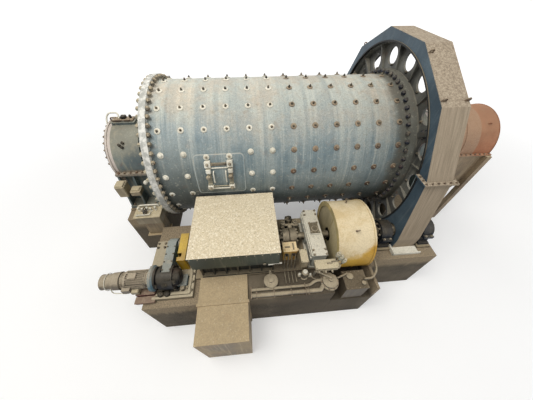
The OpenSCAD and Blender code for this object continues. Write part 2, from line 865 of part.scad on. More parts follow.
module feed_spout() {
    color([0.14, 0.2, 0.27]) place() mirror([1, 0, 0]) difference() {
        turned_x() union() {
            band(spout_in, housing_r - 10, bearing_x1, bearing_x1 + spout_flange_t);
            band(spout_in, spout_r, bearing_x1 - 200, spout_x);
            band(spout_in, spout_flange_r, spout_x - spout_flange_t, spout_x);
        }
        for (i = [0 : spout_bolts - 1]) rotate([(i + 0.5) * 360 / spout_bolts, 0, 0])
            translate([0, 0, spout_bolt_r])
                bar_x(spout_hole_r, spout_x - spout_flange_t - 1, spout_x + 1);
    }
}

// Discharge hood and chute.

trunnion_hole_r = journal_r + 25;
cover_flange_t = 20;
cover_mid_x = (cover_x0 + cover_x1) / 2;
cover_strap_w = 120;
cover_strap_t = 10;

// Curved roof of the hood with a flange along each side.
module discharge_hood() {
    color([0.66, 0.42, 0.27]) place() difference() {
        union() {
            bar_x(cover_r, cover_x0, cover_x1);
            bar_x(cover_r + cover_strap_t, cover_mid_x - cover_strap_w / 2,
                  cover_mid_x + cover_strap_w / 2);
            block(cover_x0, cover_x1, -cover_r - joint_rim, cover_r + joint_rim,
                  chute_top, chute_top + cover_flange_t);
        }
        bar_x(cover_r - cover_sheet, cover_x0 - 1, cover_x1 + 1);
        block(cover_x0 - 1, cover_x1 + 1, -2 * cover_r, 2 * cover_r,
              -2 * cover_r, chute_top);
    }
}

// The hood's two end plates; the inner one is open round the trunnion.
module discharge_hood_ends() {
    color([0.66, 0.42, 0.27]) place() for (x0 = [cover_x0, cover_x1 - cover_sheet])
        along_x(x0, cover_sheet) difference() {
            circle(cover_r - cover_sheet - 0.3);
            translate([-cover_r, chute_top - cover_r]) square([2 * cover_r, cover_r]);
            if (x0 == cover_x0) circle(trunnion_hole_r);
        }
}

chute_knee = chute_top - chute_straight;
chute_low = chute_knee - chute_taper;
outlet_x0 = (cover_x0 + cover_x1 - outlet_len) / 2;
chute_outline = [
    [cover_x0, chute_knee], [outlet_x0, chute_low], [outlet_x0 + outlet_len, chute_low],
    [cover_x1, chute_knee], [cover_x1, chute_top], [cover_x0, chute_top]];
outlet_in_half = cover_r - cover_sheet;
outlet_hole_x = outlet_len / 2 + joint_rim / 2;
outlet_hole_y = cover_r + joint_rim / 2;
outlet_hole_r = 13;
chute_leg = 140;

module discharge_chute() {
    color([0.5, 0.42, 0.33]) place() difference() {
        union() {
            across_y(-cover_r, 2 * cover_r) polygon(chute_outline);
            block(cover_x0, cover_x1, -cover_r - joint_rim, cover_r + joint_rim,
                  chute_top - cover_flange_t, chute_top);
            block(outlet_x0 - joint_rim, outlet_x0 + outlet_len + joint_rim,
                  -cover_r - joint_rim, cover_r + joint_rim,
                  chute_low, chute_low + cover_flange_t);
            for (x0 = [cover_x0, cover_x1 - chute_leg], y0 = [-cover_r - chute_leg, cover_r])
                block(x0, x0 + chute_leg, y0, y0 + chute_leg,
                      ground_z, chute_top - cover_flange_t);
        }
        intersection() {
            across_y(-outlet_in_half, 2 * outlet_in_half)
                polygon(inset(chute_outline, cover_sheet));
            block(cover_x0, cover_x1, -cover_r, cover_r, chute_low + cover_sheet, 0);
        }
        block(cover_x0 + cover_sheet, cover_x1 - cover_sheet, -outlet_in_half,
              outlet_in_half, chute_top - 2 * cover_sheet, chute_top + 1);
        block(outlet_x0 + cover_sheet, outlet_x0 + outlet_len - cover_sheet,
              -outlet_in_half, outlet_in_half, chute_low - 1, chute_low + 2 * cover_sheet);
        bar_x(trunnion_hole_r, cover_x0 - 1, cover_x0 + 2 * cover_sheet);
        for (sx = [-1, 1], sy = [-1, 1])
            translate([outlet_x0 + outlet_len / 2 + sx * outlet_hole_x, sy * outlet_hole_y,
                       chute_low - 1])
                cylinder(r = outlet_hole_r, h = cover_flange_t + 2);
    }
}

// Piers and bases.

module bearing_pier() {
    block(bearing_x0 - pier_margin, bearing_x1 + pier_margin, -pier_half, pier_half,
          ground_z, pier_z);
    block(bearing_x0 - 20, bearing_x1 + 20, -foot_half_w - 60, foot_half_w + 60,
          pier_z, sole_z);
}

module feed_pier() {
    color([0.45, 0.42, 0.38]) place() mirror([1, 0, 0]) bearing_pier();
}

module discharge_pier() {
    color([0.45, 0.42, 0.38]) place() bearing_pier();
}

pit_x0 = drum_x0 - 70;
pit_x1 = drum_x1 + 70;
narrow_x = pit_x1 + 60;
pinion_pier_front_y = guard_front_y - 300;

module drive_pier() {
    color([0.45, 0.42, 0.38]) place() difference() {
        translate([0, 0, ground_z]) linear_extrude(pier_z - ground_z) polygon([
            [drive_x0, drive_front_y], [narrow_x, drive_front_y],
            [narrow_x, pinion_pier_front_y], [drive_x1, pinion_pier_front_y],
            [drive_x1, pinion_pier_rear_y], [narrow_x, pinion_pier_rear_y],
            [narrow_x, drive_rear_y], [drive_x0, drive_rear_y]]);
        block(pit_x0, pit_x1, drive_front_y - 1, drive_rear_y + 1, pit_z, pier_z + 1);
    }
}

base_margin = 10;

module motor_base() {
    color([0.33, 0.33, 0.3]) place()
        block(hood_x0 - 60, pit_x0 - base_margin, pin_y - base_half, pin_y + base_half,
              pier_z, sole_z);
}

frame_x0 = hood_x0 + frame_inset_x;
frame_x1 = hood_x1 - frame_inset_x;
frame_half = hood_w / 2 - frame_inset_y;
frame_foot_t = 50;
frame_rib_t = 30;
frame_ribs = 7;
bell_r = 255;
bell_out = 70;

// Motor: a box frame with upright ribs, a foot along each side and two end bells.
module motor_frame() {
    color([0.16, 0.19, 0.19]) place() difference() {
        union() {
            block(frame_x0, frame_x1, pin_y - frame_half, pin_y + frame_half, sole_z, hood_z0);
            block(frame_x0, frame_x1, pin_y - base_half + base_margin,
                  pin_y + base_half - base_margin, sole_z, sole_z + frame_foot_t);
            for (i = [0 : frame_ribs - 1]) {
                rib_x = frame_x0 + i * (frame_x1 - frame_x0 - frame_rib_t) / (frame_ribs - 1);
                block(rib_x, rib_x + frame_rib_t, pin_y - frame_half - bell_out,
                      pin_y + frame_half + bell_out, sole_z, hood_z0);
            }
            on_shaft_line() bar_x(bell_r, frame_x0 - bell_out, frame_x1 + bell_out);
        }
        on_shaft_line() bar_x(motor_shaft_r + run_gap, hood_x0, hood_x1);
    }
}

hood_top_t = 30;

module motor_hood() {
    color([0.22, 0.28, 0.28]) place() {
        block(hood_x0 + hood_lap, hood_x1 - hood_lap, pin_y - hood_w / 2 + hood_lap,
              pin_y + hood_w / 2 - hood_lap, hood_z0, hood_z1 - hood_top_t / 2);
        block(hood_x0, hood_x1, pin_y - hood_w / 2, pin_y + hood_w / 2,
              hood_z1 - hood_top_t, hood_z1);
    }
}

pedestal_rim = 14;
pedestal_cover_t = 34;
pedestal_foot = 40;
pedestal_plate_half = 175;
pedestal_plate_t = 18;
pedestal_ring_r = motor_shaft_r + 90;

// Outboard bearing in a long housing with a bolted cover and a raised plate on it.
module shaft_pedestal() {
    pedestal_x1 = pedestal_x + pedestal_w;
    pedestal_z = pin_z + pedestal_top;
    color([0.6, 0.64, 0.63]) place() difference() {
        union() {
            block(pedestal_x + pedestal_rim, pedestal_x1 - pedestal_rim,
                  pin_y - pedestal_front + pedestal_rim, pin_y + pedestal_rear - pedestal_rim,
                  sole_z, pedestal_z - 1);
            block(pedestal_x, pedestal_x1, pin_y - pedestal_front, pin_y + pedestal_rear,
                  pedestal_z - pedestal_cover_t, pedestal_z);
            block(pedestal_x - pedestal_foot, pedestal_x1 + pedestal_foot,
                  pin_y - pedestal_front, pin_y + pedestal_rear, sole_z, sole_z + pedestal_foot);
            block(pedestal_x + pedestal_foot, pedestal_x1 - pedestal_foot,
                  pin_y - pedestal_plate_half, pin_y + pedestal_plate_half,
                  pedestal_z - 1, pedestal_z + pedestal_plate_t);
            on_shaft_line() bar_x(pedestal_ring_r, pedestal_x - pedestal_foot,
                                  pedestal_x1 + pedestal_foot);
        }
        on_shaft_line() bar_x(motor_shaft_r + run_gap, pedestal_x - pedestal_w,
                              pedestal_x + 2 * pedestal_w);
    }
}

saddle_half = 520;
saddle_t = 40;
saddle_h = 300;
saddle_in = 80;
drum_rim = 12;
drum_rim_w = 40;

module clutch_guard() {
    color([0.8, 0.65, 0.25]) place() on_shaft_line() {
        turned_x() union() {
            band(drum_r - drum_sheet, drum_r, drum_x0, drum_x1);
            band(drum_r - drum_sheet, drum_r + drum_rim, drum_x0, drum_x0 + drum_rim_w);
            band(drum_r - drum_sheet, drum_r + drum_rim, drum_x1 - drum_rim_w, drum_x1);
            band(drum_open_r, drum_r - drum_sheet + 1, drum_x0, drum_x0 + drum_sheet);
            band(drum_back_open_r, drum_r - drum_sheet + 1, drum_x1 - drum_sheet, drum_x1);
        }
        for (x0 = [drum_x0 + saddle_in, drum_x1 - saddle_in - saddle_t])
            along_x(x0, saddle_t) difference() {
                translate([-saddle_half, -pit_depth]) square([2 * saddle_half, saddle_h]);
                circle(drum_r - 2);
            }
    }
}

brush_x0 = hood_x1 + 133;
brush_gap = 10;
brush_top = 132;
lid_t = 20;
lid_rim = 12;

// A closed box with a lid that laps over its sides, on the volume x0..x1, y0..y1, z0..z1.
module lidded_box(x0, x1, y0, y1, z0, z1) {
    block(x0 + lid_rim, x1 - lid_rim, y0 + lid_rim, y1 - lid_rim, z0, z1 - lid_t / 2);
    block(x0, x1, y0, y1, z1 - lid_t, z1);
}

module brush_box() {
    brush_y1 = pin_y - coupling_r - brush_gap;
    color([0.86, 0.66, 0.2]) place() lidded_box(brush_x0, brush_x0 + brush_w,
        brush_y1 - brush_depth, brush_y1, sole_z, pin_z + brush_top);
}

box_gap = 30;
post_w = 70;
switch_h = 290;
switch_top = 230;
switch_gap = 70;
switch_out = 58;

// Switch box on a post that stands on the motor's base plate.
module switch_box() {
    switch_x1 = pedestal_x - pedestal_foot - switch_gap;
    switch_y0 = pin_y - base_half - switch_out;
    post_x = switch_x1 - switch_w / 2;
    post_y = switch_y0 + switch_depth / 2;
    color([0.72, 0.68, 0.58]) place() {
        lidded_box(switch_x1 - switch_w, switch_x1, switch_y0, switch_y0 + switch_depth,
                   pin_z + switch_top - switch_h, pin_z + switch_top);
        block(post_x - post_w / 2, post_x + post_w / 2, post_y - post_w / 2,
              post_y + post_w / 2, sole_z, pin_z + switch_top - switch_h);
    }
}

junction_top = 262;
junction_gap = 78;

// Junction box on a post in front of the outboard bearing.
module junction_box() {
    junction_x1 = drum_x0 - box_gap;
    junction_y1 = pin_y - pedestal_front - junction_gap;
    junction_z0 = pin_z + junction_top - junction_h;
    post_x = junction_x1 - junction_w / 2;
    post_y = junction_y1 - junction_depth / 2;
    color([0.72, 0.68, 0.58]) place() {
        lidded_box(junction_x1 - junction_w, junction_x1, junction_y1 - junction_depth,
                   junction_y1, junction_z0, junction_z0 + junction_h);
        block(post_x - post_w / 2, post_x + post_w / 2, post_y - post_w / 2,
              post_y + post_w / 2, pier_z, junction_z0);
    }
}

// Inching drive: motor, adapter disc, gear case and the arm that reaches the shaft line.

inch_disc_x = motor_shaft_x0 - inch_disc_off;
inch_y = pin_y - inch_off;
brake_r = inch_motor_r - 24;
brake_len = inch_motor_len * 0.24;
cowl_len = inch_motor_len * 0.16;
cowl_gap = 14;
neck_r = inch_motor_r - 26;
neck_len = 160;
fin_count = 24;
fin_h = 14;
fin_t = 8;
case_bolt_r = 13;
case_bolts = 10;

module on_inching_axis() {
    translate([0, inch_y, pin_z]) children();
}

// Motor from its brake end to the adapter: brake cover, fan cowl, finned body and neck.
module inching_motor() {
    motor_x0 = inch_disc_x - inch_motor_len;
    cowl_x = motor_x0 + brake_len;
    body_x = cowl_x + cowl_len;
    color([0.55, 0.52, 0.46]) place() on_inching_axis() {
        turned_x() polygon([
            [0, motor_x0], [brake_r - 30, motor_x0], [brake_r, motor_x0 + 30],
            [brake_r, cowl_x - cowl_gap], [brake_r - 20, cowl_x - cowl_gap],
            [brake_r - 20, cowl_x], [inch_motor_r, cowl_x],
            [inch_motor_r + 4, body_x - cowl_gap], [neck_r, body_x - cowl_gap],
            [neck_r, inch_disc_x - neck_len / 2], [inch_motor_r, inch_disc_x - neck_len / 2],
            [inch_motor_r, inch_disc_x - 20], [neck_r, inch_disc_x], [0, inch_disc_x]]);
        for (i = [0 : fin_count - 1]) rotate([i * 360 / fin_count, 0, 0])
            block(body_x, inch_disc_x - neck_len, -fin_t / 2, fin_t / 2, neck_r - 2,
                  neck_r + fin_h);
        block(body_x + 60, body_x + 220, -inch_motor_r - 70, -neck_r + 20, -80, 50);
    }
}

module inching_adapter() {
    color([0.4, 0.55, 0.62]) place() on_inching_axis() turned_x() polygon([
        [0, inch_disc_x], [inch_disc_r, inch_disc_x],
        [inch_disc_r, inch_disc_x + inch_disc_t * 0.6],
        [inch_disc_r - 35, inch_disc_x + inch_disc_t], [0, inch_disc_x + inch_disc_t]]);
}

reducer_x0 = inch_disc_x + inch_disc_t;
reducer_x1 = reducer_x0 + reducer_w;
arm_x1 = motor_shaft_x0 - 20;
arm_x0 = arm_x1 - arm_w;
arm_slot = 0.3;
arm_half = 120;
arm_hub_r = 150;
arm_top = 200;

// Gear case: two halves with bolted flanges, end cover and feet.
module inching_reducer() {
    color([0.12, 0.18, 0.28]) place() on_inching_axis() difference() {
        union() {
            turned_x() polygon([
                [0, reducer_x0], [reducer_r - 15, reducer_x0], [reducer_r - 15, reducer_x0 + 40],
                [reducer_r - 50, reducer_x0 + 60], [reducer_r - 50, arm_x0 - 50],
                [reducer_r, arm_x0 - 50], [reducer_r, arm_x1 + 50],
                [reducer_r - 50, arm_x1 + 50], [reducer_r - 90, reducer_x1 - 20],
                [reducer_r - 110, reducer_x1], [0, reducer_x1]]);
            block(arm_x0 - 50, arm_x1 + 50, 60 - reducer_r, reducer_r - 60,
                  sole_z - pin_z, 0);
            block(arm_x0 - 80, arm_x1 + 80, 40 - reducer_r, reducer_r - 40, sole_z - pin_z,
                  sole_z - pin_z + 40);
            for (i = [0 : case_bolts - 1]) rotate([(i + 0.5) * 360 / case_bolts, 0, 0])
                translate([0, 0, reducer_r - 25])
                    bar_x(case_bolt_r, arm_x1 + 49, arm_x1 + 66);
        }
        block(arm_x0 - arm_slot, arm_x1 + arm_slot, 0, 2 * reducer_r, -2 * reducer_r,
              2 * reducer_r);
    }
}

// Arm housing that seats in the gear case and ends in a hub on the shaft line.
module inching_arm() {
    color([0.4, 0.55, 0.62]) place() on_shaft_line() {
        along_x(arm_x0, arm_x1 - arm_x0) union() {
            circle(arm_hub_r);
            translate([-inch_off + arm_slot, -arm_half]) square([inch_off, arm_half + arm_top]);
            translate([-arm_half, sole_z - pin_z]) square([2 * arm_half, pin_z - sole_z]);
        }
        bar_x(arm_hub_r - 40, arm_x1 - 1, motor_shaft_x0 - 6);
    }
}

rail_rise = 50;
rail_gap = 14;
base_rear = 300;
base_front = 360;

// Base of the inching drive: a plate with a double rail along its front and its inner end.
module inching_base() {
    base_x1 = hood_x0 - 60 - base_margin;
    base_y0 = inch_y - base_front;
    color([0.5, 0.45, 0.38]) place() {
        block(drive_x0, base_x1, base_y0, pin_y + base_rear, pier_z, sole_z);
        for (i = [0, 1]) {
            rail_in = i * (rail_w + rail_gap);
            block(inch_disc_x - box_gap + rail_in, base_x1 - rail_in, base_y0 + rail_in,
                  base_y0 + rail_in + rail_w, sole_z - 1, sole_z + rail_rise);
            block(base_x1 - rail_in - rail_w, base_x1 - rail_in, base_y0 + rail_in,
                  inch_y + reducer_r, sole_z - 1, sole_z + rail_rise);
        }
    }
}

inch_guard_sheet = 8;
inch_guard_x0 = motor_shaft_x0 + 40;
inch_guard_x1 = hood_x0 - 220;
inch_guard_top = inch_flange_r + 25;
inch_guard_front = 498;
notch_w = 90;

module inching_coupling_guard() {
    guard_y0 = pin_y - inch_guard_front;
    guard_y1 = pin_y + inch_guard_half;
    guard_z1 = pin_z + inch_guard_top;
    color([0.9, 0.75, 0.1]) place() difference() {
        block(inch_guard_x0, inch_guard_x1, guard_y0, guard_y1, sole_z, guard_z1);
        block(inch_guard_x0 + inch_guard_sheet, inch_guard_x1 - inch_guard_sheet,
              guard_y0 + inch_guard_sheet, guard_y1 - inch_guard_sheet, sole_z - 1,
              guard_z1 - inch_guard_sheet);
        block(inch_guard_x0 - 1, inch_guard_x0 + notch_w, guard_y0 + notch_w,
              guard_y0 + 2 * notch_w, guard_z1 - notch_w, guard_z1 + 1);
        on_shaft_line() bar_x(inch_flange_r + 15, inch_guard_x0 - 20, inch_guard_x0 + 20);
        on_shaft_line() bar_x(motor_shaft_r + 15, inch_guard_x1 - 20, inch_guard_x1 + 20);
    }
}

module lube_tank() {
    tank_x1 = drum_x0 + drum_len - 125;
    color([0.5, 0.47, 0.4]) place() lidded_box(tank_x1 - tank_len, tank_x1,
        drive_front_y + lid_rim, drive_front_y + lid_rim + tank_w, pit_z, sole_z);
}

duct_x0 = hood_x0 + 50;
duct_rim = 25;
duct_rim_w = 60;

// Sheet duct that runs forward from under the motor, with a flange near its outer end.
module motor_duct() {
    color([0.6, 0.54, 0.44]) place() {
        along_x(duct_x0, duct_w) polygon([
            [duct_front_y, ground_z], [drive_front_y, ground_z], [drive_front_y, pier_z],
            [pin_y - base_half, pier_z], [pin_y - base_half, sole_z], [duct_front_y, sole_z]]);
        block(duct_x0 - duct_rim, duct_x0 + duct_w + duct_rim, drive_front_y - duct_rim_w - 1,
              drive_front_y - 1, ground_z, sole_z + duct_rim);
    }
}

shell();
manhole_pad();
manhole_cover();
manhole_clamps();
feed_head();
discharge_head();
girth_gear();
pinion();
pinion_shaft();
clutch();
motor_shaft();
pinion_bearing_inner();
pinion_bearing_outer();
pinion_sole_plates();
gear_guard_upper();
gear_guard_lower();
guard_seal();
guard_legs();
feed_bearing_base();
feed_bearing_cap();
feed_spout();
discharge_bearing_base();
discharge_bearing_cap();
discharge_hood();
discharge_hood_ends();
discharge_chute();
feed_pier();
discharge_pier();
drive_pier();
motor_base();
motor_frame();
motor_hood();
shaft_pedestal();
clutch_guard();
brush_box();
switch_box();
junction_box();
inching_motor();
inching_adapter();
inching_reducer();
inching_arm();
inching_base();
inching_coupling_guard();
lube_tank();
motor_duct();
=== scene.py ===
"""Looks of the ball mill: materials, fasteners, small fittings, light and camera.

All lengths are metres. M is the middle of the mill's axis and of its shell. Points are
given in mill coordinates (x along the mill, y away from the drive side, z up) and at()
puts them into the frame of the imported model. Angles round the mill are degrees above
the drive side. Arrays of points are built with numpy as a whole.
"""

import json
import math

import bpy
import numpy as np
from mathutils import Matrix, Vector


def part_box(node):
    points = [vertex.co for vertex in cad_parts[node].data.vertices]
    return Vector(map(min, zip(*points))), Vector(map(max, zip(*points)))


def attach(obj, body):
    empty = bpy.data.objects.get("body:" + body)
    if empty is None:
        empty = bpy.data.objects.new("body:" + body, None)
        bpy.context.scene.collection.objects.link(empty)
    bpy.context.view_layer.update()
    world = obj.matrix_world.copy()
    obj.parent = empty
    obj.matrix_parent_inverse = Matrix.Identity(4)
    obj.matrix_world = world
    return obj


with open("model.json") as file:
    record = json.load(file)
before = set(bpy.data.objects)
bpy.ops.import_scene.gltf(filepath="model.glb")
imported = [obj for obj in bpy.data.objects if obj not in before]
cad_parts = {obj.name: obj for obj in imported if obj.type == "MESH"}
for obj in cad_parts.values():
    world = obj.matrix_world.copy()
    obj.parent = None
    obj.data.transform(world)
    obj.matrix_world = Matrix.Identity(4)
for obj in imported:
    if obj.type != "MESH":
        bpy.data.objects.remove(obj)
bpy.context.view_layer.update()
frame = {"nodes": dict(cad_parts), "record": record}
shell_low, shell_high = (np.array(corner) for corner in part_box("shell"))
M = (shell_low + shell_high) / 2
SHELL_R = 1.7
SHELL_HALF = (shell_high[0] - shell_low[0]) / 2
FLANGE_T = 0.068
TAU = 2 * math.pi
UP = (0, 0, 1)
WORLD_LEVEL = 0.42


def box(node):
    """Lowest and highest corner of a CAD node in mill coordinates."""
    low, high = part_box(node)
    return np.array(low) - M, np.array(high) - M


# The pinion line's axis, the top of the motor's base plates and of the drive pier.
P = M + sum(box("pinion_shaft")) / 2
P_Y, P_Z = (P - M)[1:]
BASE, BED = P_Z - 0.288, P_Z - 0.348

# ---------------------------------------------------------------- node helpers


def rgb(red, green, blue):
    """Linear RGBA from sRGB values of 0 to 255."""
    values = np.array([red, green, blue]) / 255
    linear = np.where(values <= 0.04045, values / 12.92, ((values + 0.055) / 1.055) ** 2.4)
    return (*[float(v) for v in linear], 1.0)


def tone(colour):
    """An sRGB triple as linear RGBA; a socket stays as it is."""
    return rgb(*colour) if isinstance(colour, tuple) else colour


class Nodes:
    """Short calls that add shader nodes and return their output sockets."""

    def __init__(self, tree):
        self.tree = tree

    def add(self, kind, **settings):
        node = self.tree.nodes.new("ShaderNode" + kind)
        for key, value in settings.items():
            setattr(node, key, value)
        return node

    def put(self, socket, value):
        if isinstance(value, bpy.types.NodeSocket):
            self.tree.links.new(value, socket)
        elif value is not None:
            socket.default_value = value

    def feed(self, node, *values):
        """Puts values into a node's first sockets."""
        for socket, value in zip(node.inputs, values):
            self.put(socket, value)
        return node

    def named(self, node, **values):
        """Puts values into a node's sockets by name."""
        for name, value in values.items():
            self.put(node.inputs[name], value)
        return node

    def group(self, tree, **values):
        node = self.add("Group")
        node.node_tree = tree
        return self.named(node, **values).outputs

    def math(self, operation, *values):
        return self.feed(self.add("Math", operation=operation), *values).outputs[0]

    def times(self, a, b):
        return self.math("MULTIPLY", a, b)

    def plus(self, a, b):
        return self.math("ADD", a, b)

    def swing(self, noise, reach):
        """A noise of 0 to 1 spread evenly about 0, over the whole reach."""
        return self.math("MULTIPLY_ADD", noise, reach, -reach / 2)

    def vector(self, operation, a, b=None):
        node = self.feed(self.add("VectorMath", operation=operation), a, b)
        return node.outputs["Value" if operation == "LENGTH" else "Vector"]

    def split(self, vector):
        return self.feed(self.add("SeparateXYZ"), vector).outputs

    def join(self, x, y, z):
        return self.feed(self.add("CombineXYZ"), x, y, z).outputs[0]

    def in_mill(self, point):
        """The x, y and z of a point in mill coordinates."""
        return self.split(self.vector("SUBTRACT", point, tuple(M)))

    def noise(self, vector, scale, detail=3.0, rough=0.55, distortion=0.0):
        return self.named(self.add("TexNoise"), Vector=vector, Scale=scale, Detail=detail,
                          Roughness=rough, Distortion=distortion).outputs[0]

    def stretched(self, scales, parts, shape):
        """Noise on a point whose parts are scaled one by one; shape is detail and rough."""
        spot = [self.times(part, scale) if scale else 0.0 for part, scale in zip(parts, scales)]
        return self.noise(self.join(*spot), 1.0, *shape)

    def cells(self, vector, scale):
        node = self.named(self.add("TexVoronoi"), Vector=vector, Scale=scale)
        return node.outputs["Distance"]

    def ease(self, value, low, high, out_low=0.0, out_high=1.0):
        node = self.add("MapRange", interpolation_type="SMOOTHSTEP")
        return self.feed(node, value, low, high, out_low, out_high).outputs[0]

    def mix(self, factor, a, b):
        node = self.add("Mix", data_type="RGBA")
        for index, value in ((0, factor), (6, tone(a)), (7, tone(b))):
            self.put(node.inputs[index], value)
        return node.outputs[2]

    def coat(self, colour, tint, mask, low, high, most=1.0, least=0.0):
        """Lays a tint over a colour, from least at low to most at high of the mask."""
        return self.mix(self.ease(mask, low, high, least, most), colour, tint)

    def seen(self):
        """1 for the rays that see the backdrop itself: camera, glossy and transmission."""
        rays = self.add("LightPath").outputs
        return self.math("MAXIMUM", rays["Is Camera Ray"],
                         self.math("MAXIMUM", rays["Is Glossy Ray"],
                                   rays["Is Transmission Ray"]))

    def finish(self, colour, roughness, height, strength, distance):
        """Feeds the shader its colour, roughness and bump; returns the material."""
        bump = self.named(self.add("Bump"), Strength=strength, Distance=distance, Height=height)
        self.named(self.shader, **{"Base Color": colour, "Roughness": roughness,
                                   "Normal": bump.outputs[0]})
        return self.material


def new_group(name, given, result):
    """A shader node group; given and result hold rows of a socket kind and socket names."""
    tree = bpy.data.node_groups.new(name, "ShaderNodeTree")
    for way, rows in (("INPUT", given), ("OUTPUT", result)):
        for kind, *names in rows:
            for socket in names:
                tree.interface.new_socket(name=socket, in_out=way,
                                          socket_type="NodeSocket" + kind)
    return Nodes(tree), tree.nodes.new("NodeGroupInput").outputs, tree.nodes.new("NodeGroupOutput")


MASKS = ("Dust", "Speck", "Streak", "Rust", "Blotch", "Grain", "Pit")
DUST, DUST_LIGHT, RUST = (196, 180, 150), (232, 220, 194), (112, 66, 40)


def make_wear_group():
    """Masks of dust, speckles, streaks, rust and blotches for a point and its normal."""
    n, given, result = new_group("surface_wear", [("Vector", "Point", "Normal")],
                                 [("Float", "Up", *MASKS)])
    point = given["Point"]
    up = n.split(given["Normal"])[2]
    large = n.noise(point, 1.3)
    middle = n.noise(point, 7.0, 4.0, 0.6)
    grain = n.noise(point, 42.0, 4.0, 0.65)
    uneven = n.plus(n.times(large, 0.5), n.times(middle, 0.5))
    dust = n.ease(n.plus(up, n.swing(uneven, 1.2)), 0.15, 0.75)
    spread = n.times(n.noise(point, 5.0, 2.0), 0.35)
    speck = n.ease(n.plus(n.cells(point, 15.0), spread), 0.44, 0.3)
    runs = n.stretched((9.0, 9.0, 0.7), n.split(point), (4.0, 0.65))
    rust = n.ease(n.noise(point, 3.1, 6.0, 0.7, 0.4), 0.58, 0.66)
    pit = n.ease(n.noise(point, 19.0, 2.0, 0.5), 0.6, 0.7)
    n.feed(result, up, dust, speck, n.ease(runs, 0.5, 0.68), rust, large, grain, pit)
    return n.tree


def make_drum_group():
    """A point in drum coordinates (along the axis, round it, out from it) and its height."""
    n, given, result = new_group("drum_coordinates", [("Vector", "Point")],
                                 [("Vector", "Place"), ("Float", "Height")])
    x, y, z = n.in_mill(given["Point"])
    radius = n.vector("LENGTH", n.join(0.0, y, z))
    arc = n.times(n.math("ARCTAN2", z, n.times(y, -1.0)), SHELL_R)
    n.named(result, Place=n.join(x, arc, radius), Height=n.math("DIVIDE", z, radius))
    return n.tree


def make_paint_group():
    """Worn paint from the wear masks: base to dark blotches, rust, streaks, settled dust.

    Soil is how much dust lies on a spot; Side Dust is dust that holds on upright faces too.
    """
    n, given, result = new_group(
        "worn_paint", [("Float", *MASKS, "Dust Amount", "Speck Amount", "Streak Amount",
                        "Rust Amount", "Side Dust"), ("Color", "Base", "Dark", "Dust Color")],
        [("Color", "Color"), ("Float", "Soil", "Height")])
    grain, dark, powder, side = (given[name] for name in ("Grain", "Dark", "Dust Color",
                                                          "Side Dust"))
    colour = n.coat(dark, given["Base"], given["Blotch"], 0.35, 0.7)
    colour = n.coat(colour, dark, grain, 0.35, 0.65, 0.4)
    colour = n.mix(n.times(given["Rust"], given["Rust Amount"]), colour, RUST)
    colour = n.mix(n.times(given["Streak"], given["Streak Amount"]), colour, powder)
    loose = n.ease(given["Blotch"], 0.3, 0.65, n.times(side, 0.5), side)
    soil = n.math("MAXIMUM", n.times(given["Dust"], given["Dust Amount"]), loose)
    specks = given["Speck Amount"]
    powder = n.mix(n.times(given["Speck"], specks), powder, DUST_LIGHT)
    powder = n.coat(powder, (150, 135, 108), grain, 0.38, 0.62, 0.4)
    powder = n.mix(n.times(given["Pit"], n.times(specks, 0.5)), powder, (122, 106, 82))
    n.named(result, Color=n.mix(soil, colour, powder), Soil=soil,
            Height=n.plus(n.times(grain, 0.5), given["Rust"]))
    return n.tree


def make_front_shade_group():
    """Mask of painted shade along the drive's front, between the motor and the clutch, spotted by
    the grain.
    """
    n, given, result = new_group("front_shade", [("Vector", "Point"),
                                               ("Float", "Blotch", "Grain", "Most")],
                                 [("Float", "Stain")])
    x, y, z = n.in_mill(given["Point"])
    most = given["Most"]
    front = n.ease(n.plus(y, n.swing(given["Blotch"], 0.3)), -2.95, -3.1)
    between = n.times(n.ease(x, -0.5, -0.2), n.ease(x, 1.9, 1.6))
    spots = n.ease(given["Grain"], 0.35, 0.6, n.times(most, 0.7), most)
    n.named(result, Stain=n.times(n.times(front, between), spots))
    return n.tree


WEAR, DRUM = make_wear_group(), make_drum_group()
PAINT, FRONT_SHADE = make_paint_group(), make_front_shade_group()


def start_material(name, roughness=None, metallic=0.0, specular=0.35):
    """Nodes of a new material, with its shader, point, normal and wear masks at hand."""
    material = bpy.data.materials.new(name)
    material.use_nodes = True
    n = Nodes(material.node_tree)
    n.material = material
    n.shader = next(x for x in n.tree.nodes if x.type == "BSDF_PRINCIPLED")
    n.named(n.shader, **{"Metallic": metallic, "Roughness": roughness,
                         "Specular IOR Level": specular})
    place = n.add("TexCoord").outputs
    n.point, n.normal = place["Object"], place["Normal"]
    n.wear = n.group(WEAR, Point=n.point, Normal=n.normal)
    return n


# ---------------------------------------------------------------- finishes


def painted(name, base, dark, dust=0.9, specks=0.3, streaks=0.3, rust=0.15, rough=0.5,
            dust_colour=DUST, metallic=0.0, side_dust=0.0, zone=None, specular=0.4):
    """Worn paint; zone(n) may return (mask, colour) pairs that are laid over it."""
    n = start_material(name, metallic=metallic, specular=specular)
    paint = n.group(PAINT, **{mask: n.wear[mask] for mask in MASKS}, **{
        "Dust Amount": dust, "Speck Amount": specks, "Streak Amount": streaks,
        "Rust Amount": rust, "Side Dust": side_dust, "Base": rgb(*base), "Dark": rgb(*dark),
        "Dust Color": rgb(*dust_colour)})
    colour = paint["Color"]
    for mask, tint in zone(n) if zone else ():
        colour = n.mix(mask, colour, tint)
    return n.finish(colour, n.ease(paint["Soil"], 0.0, 1.0, rough, 0.95), paint["Height"],
                    0.4, 0.004)


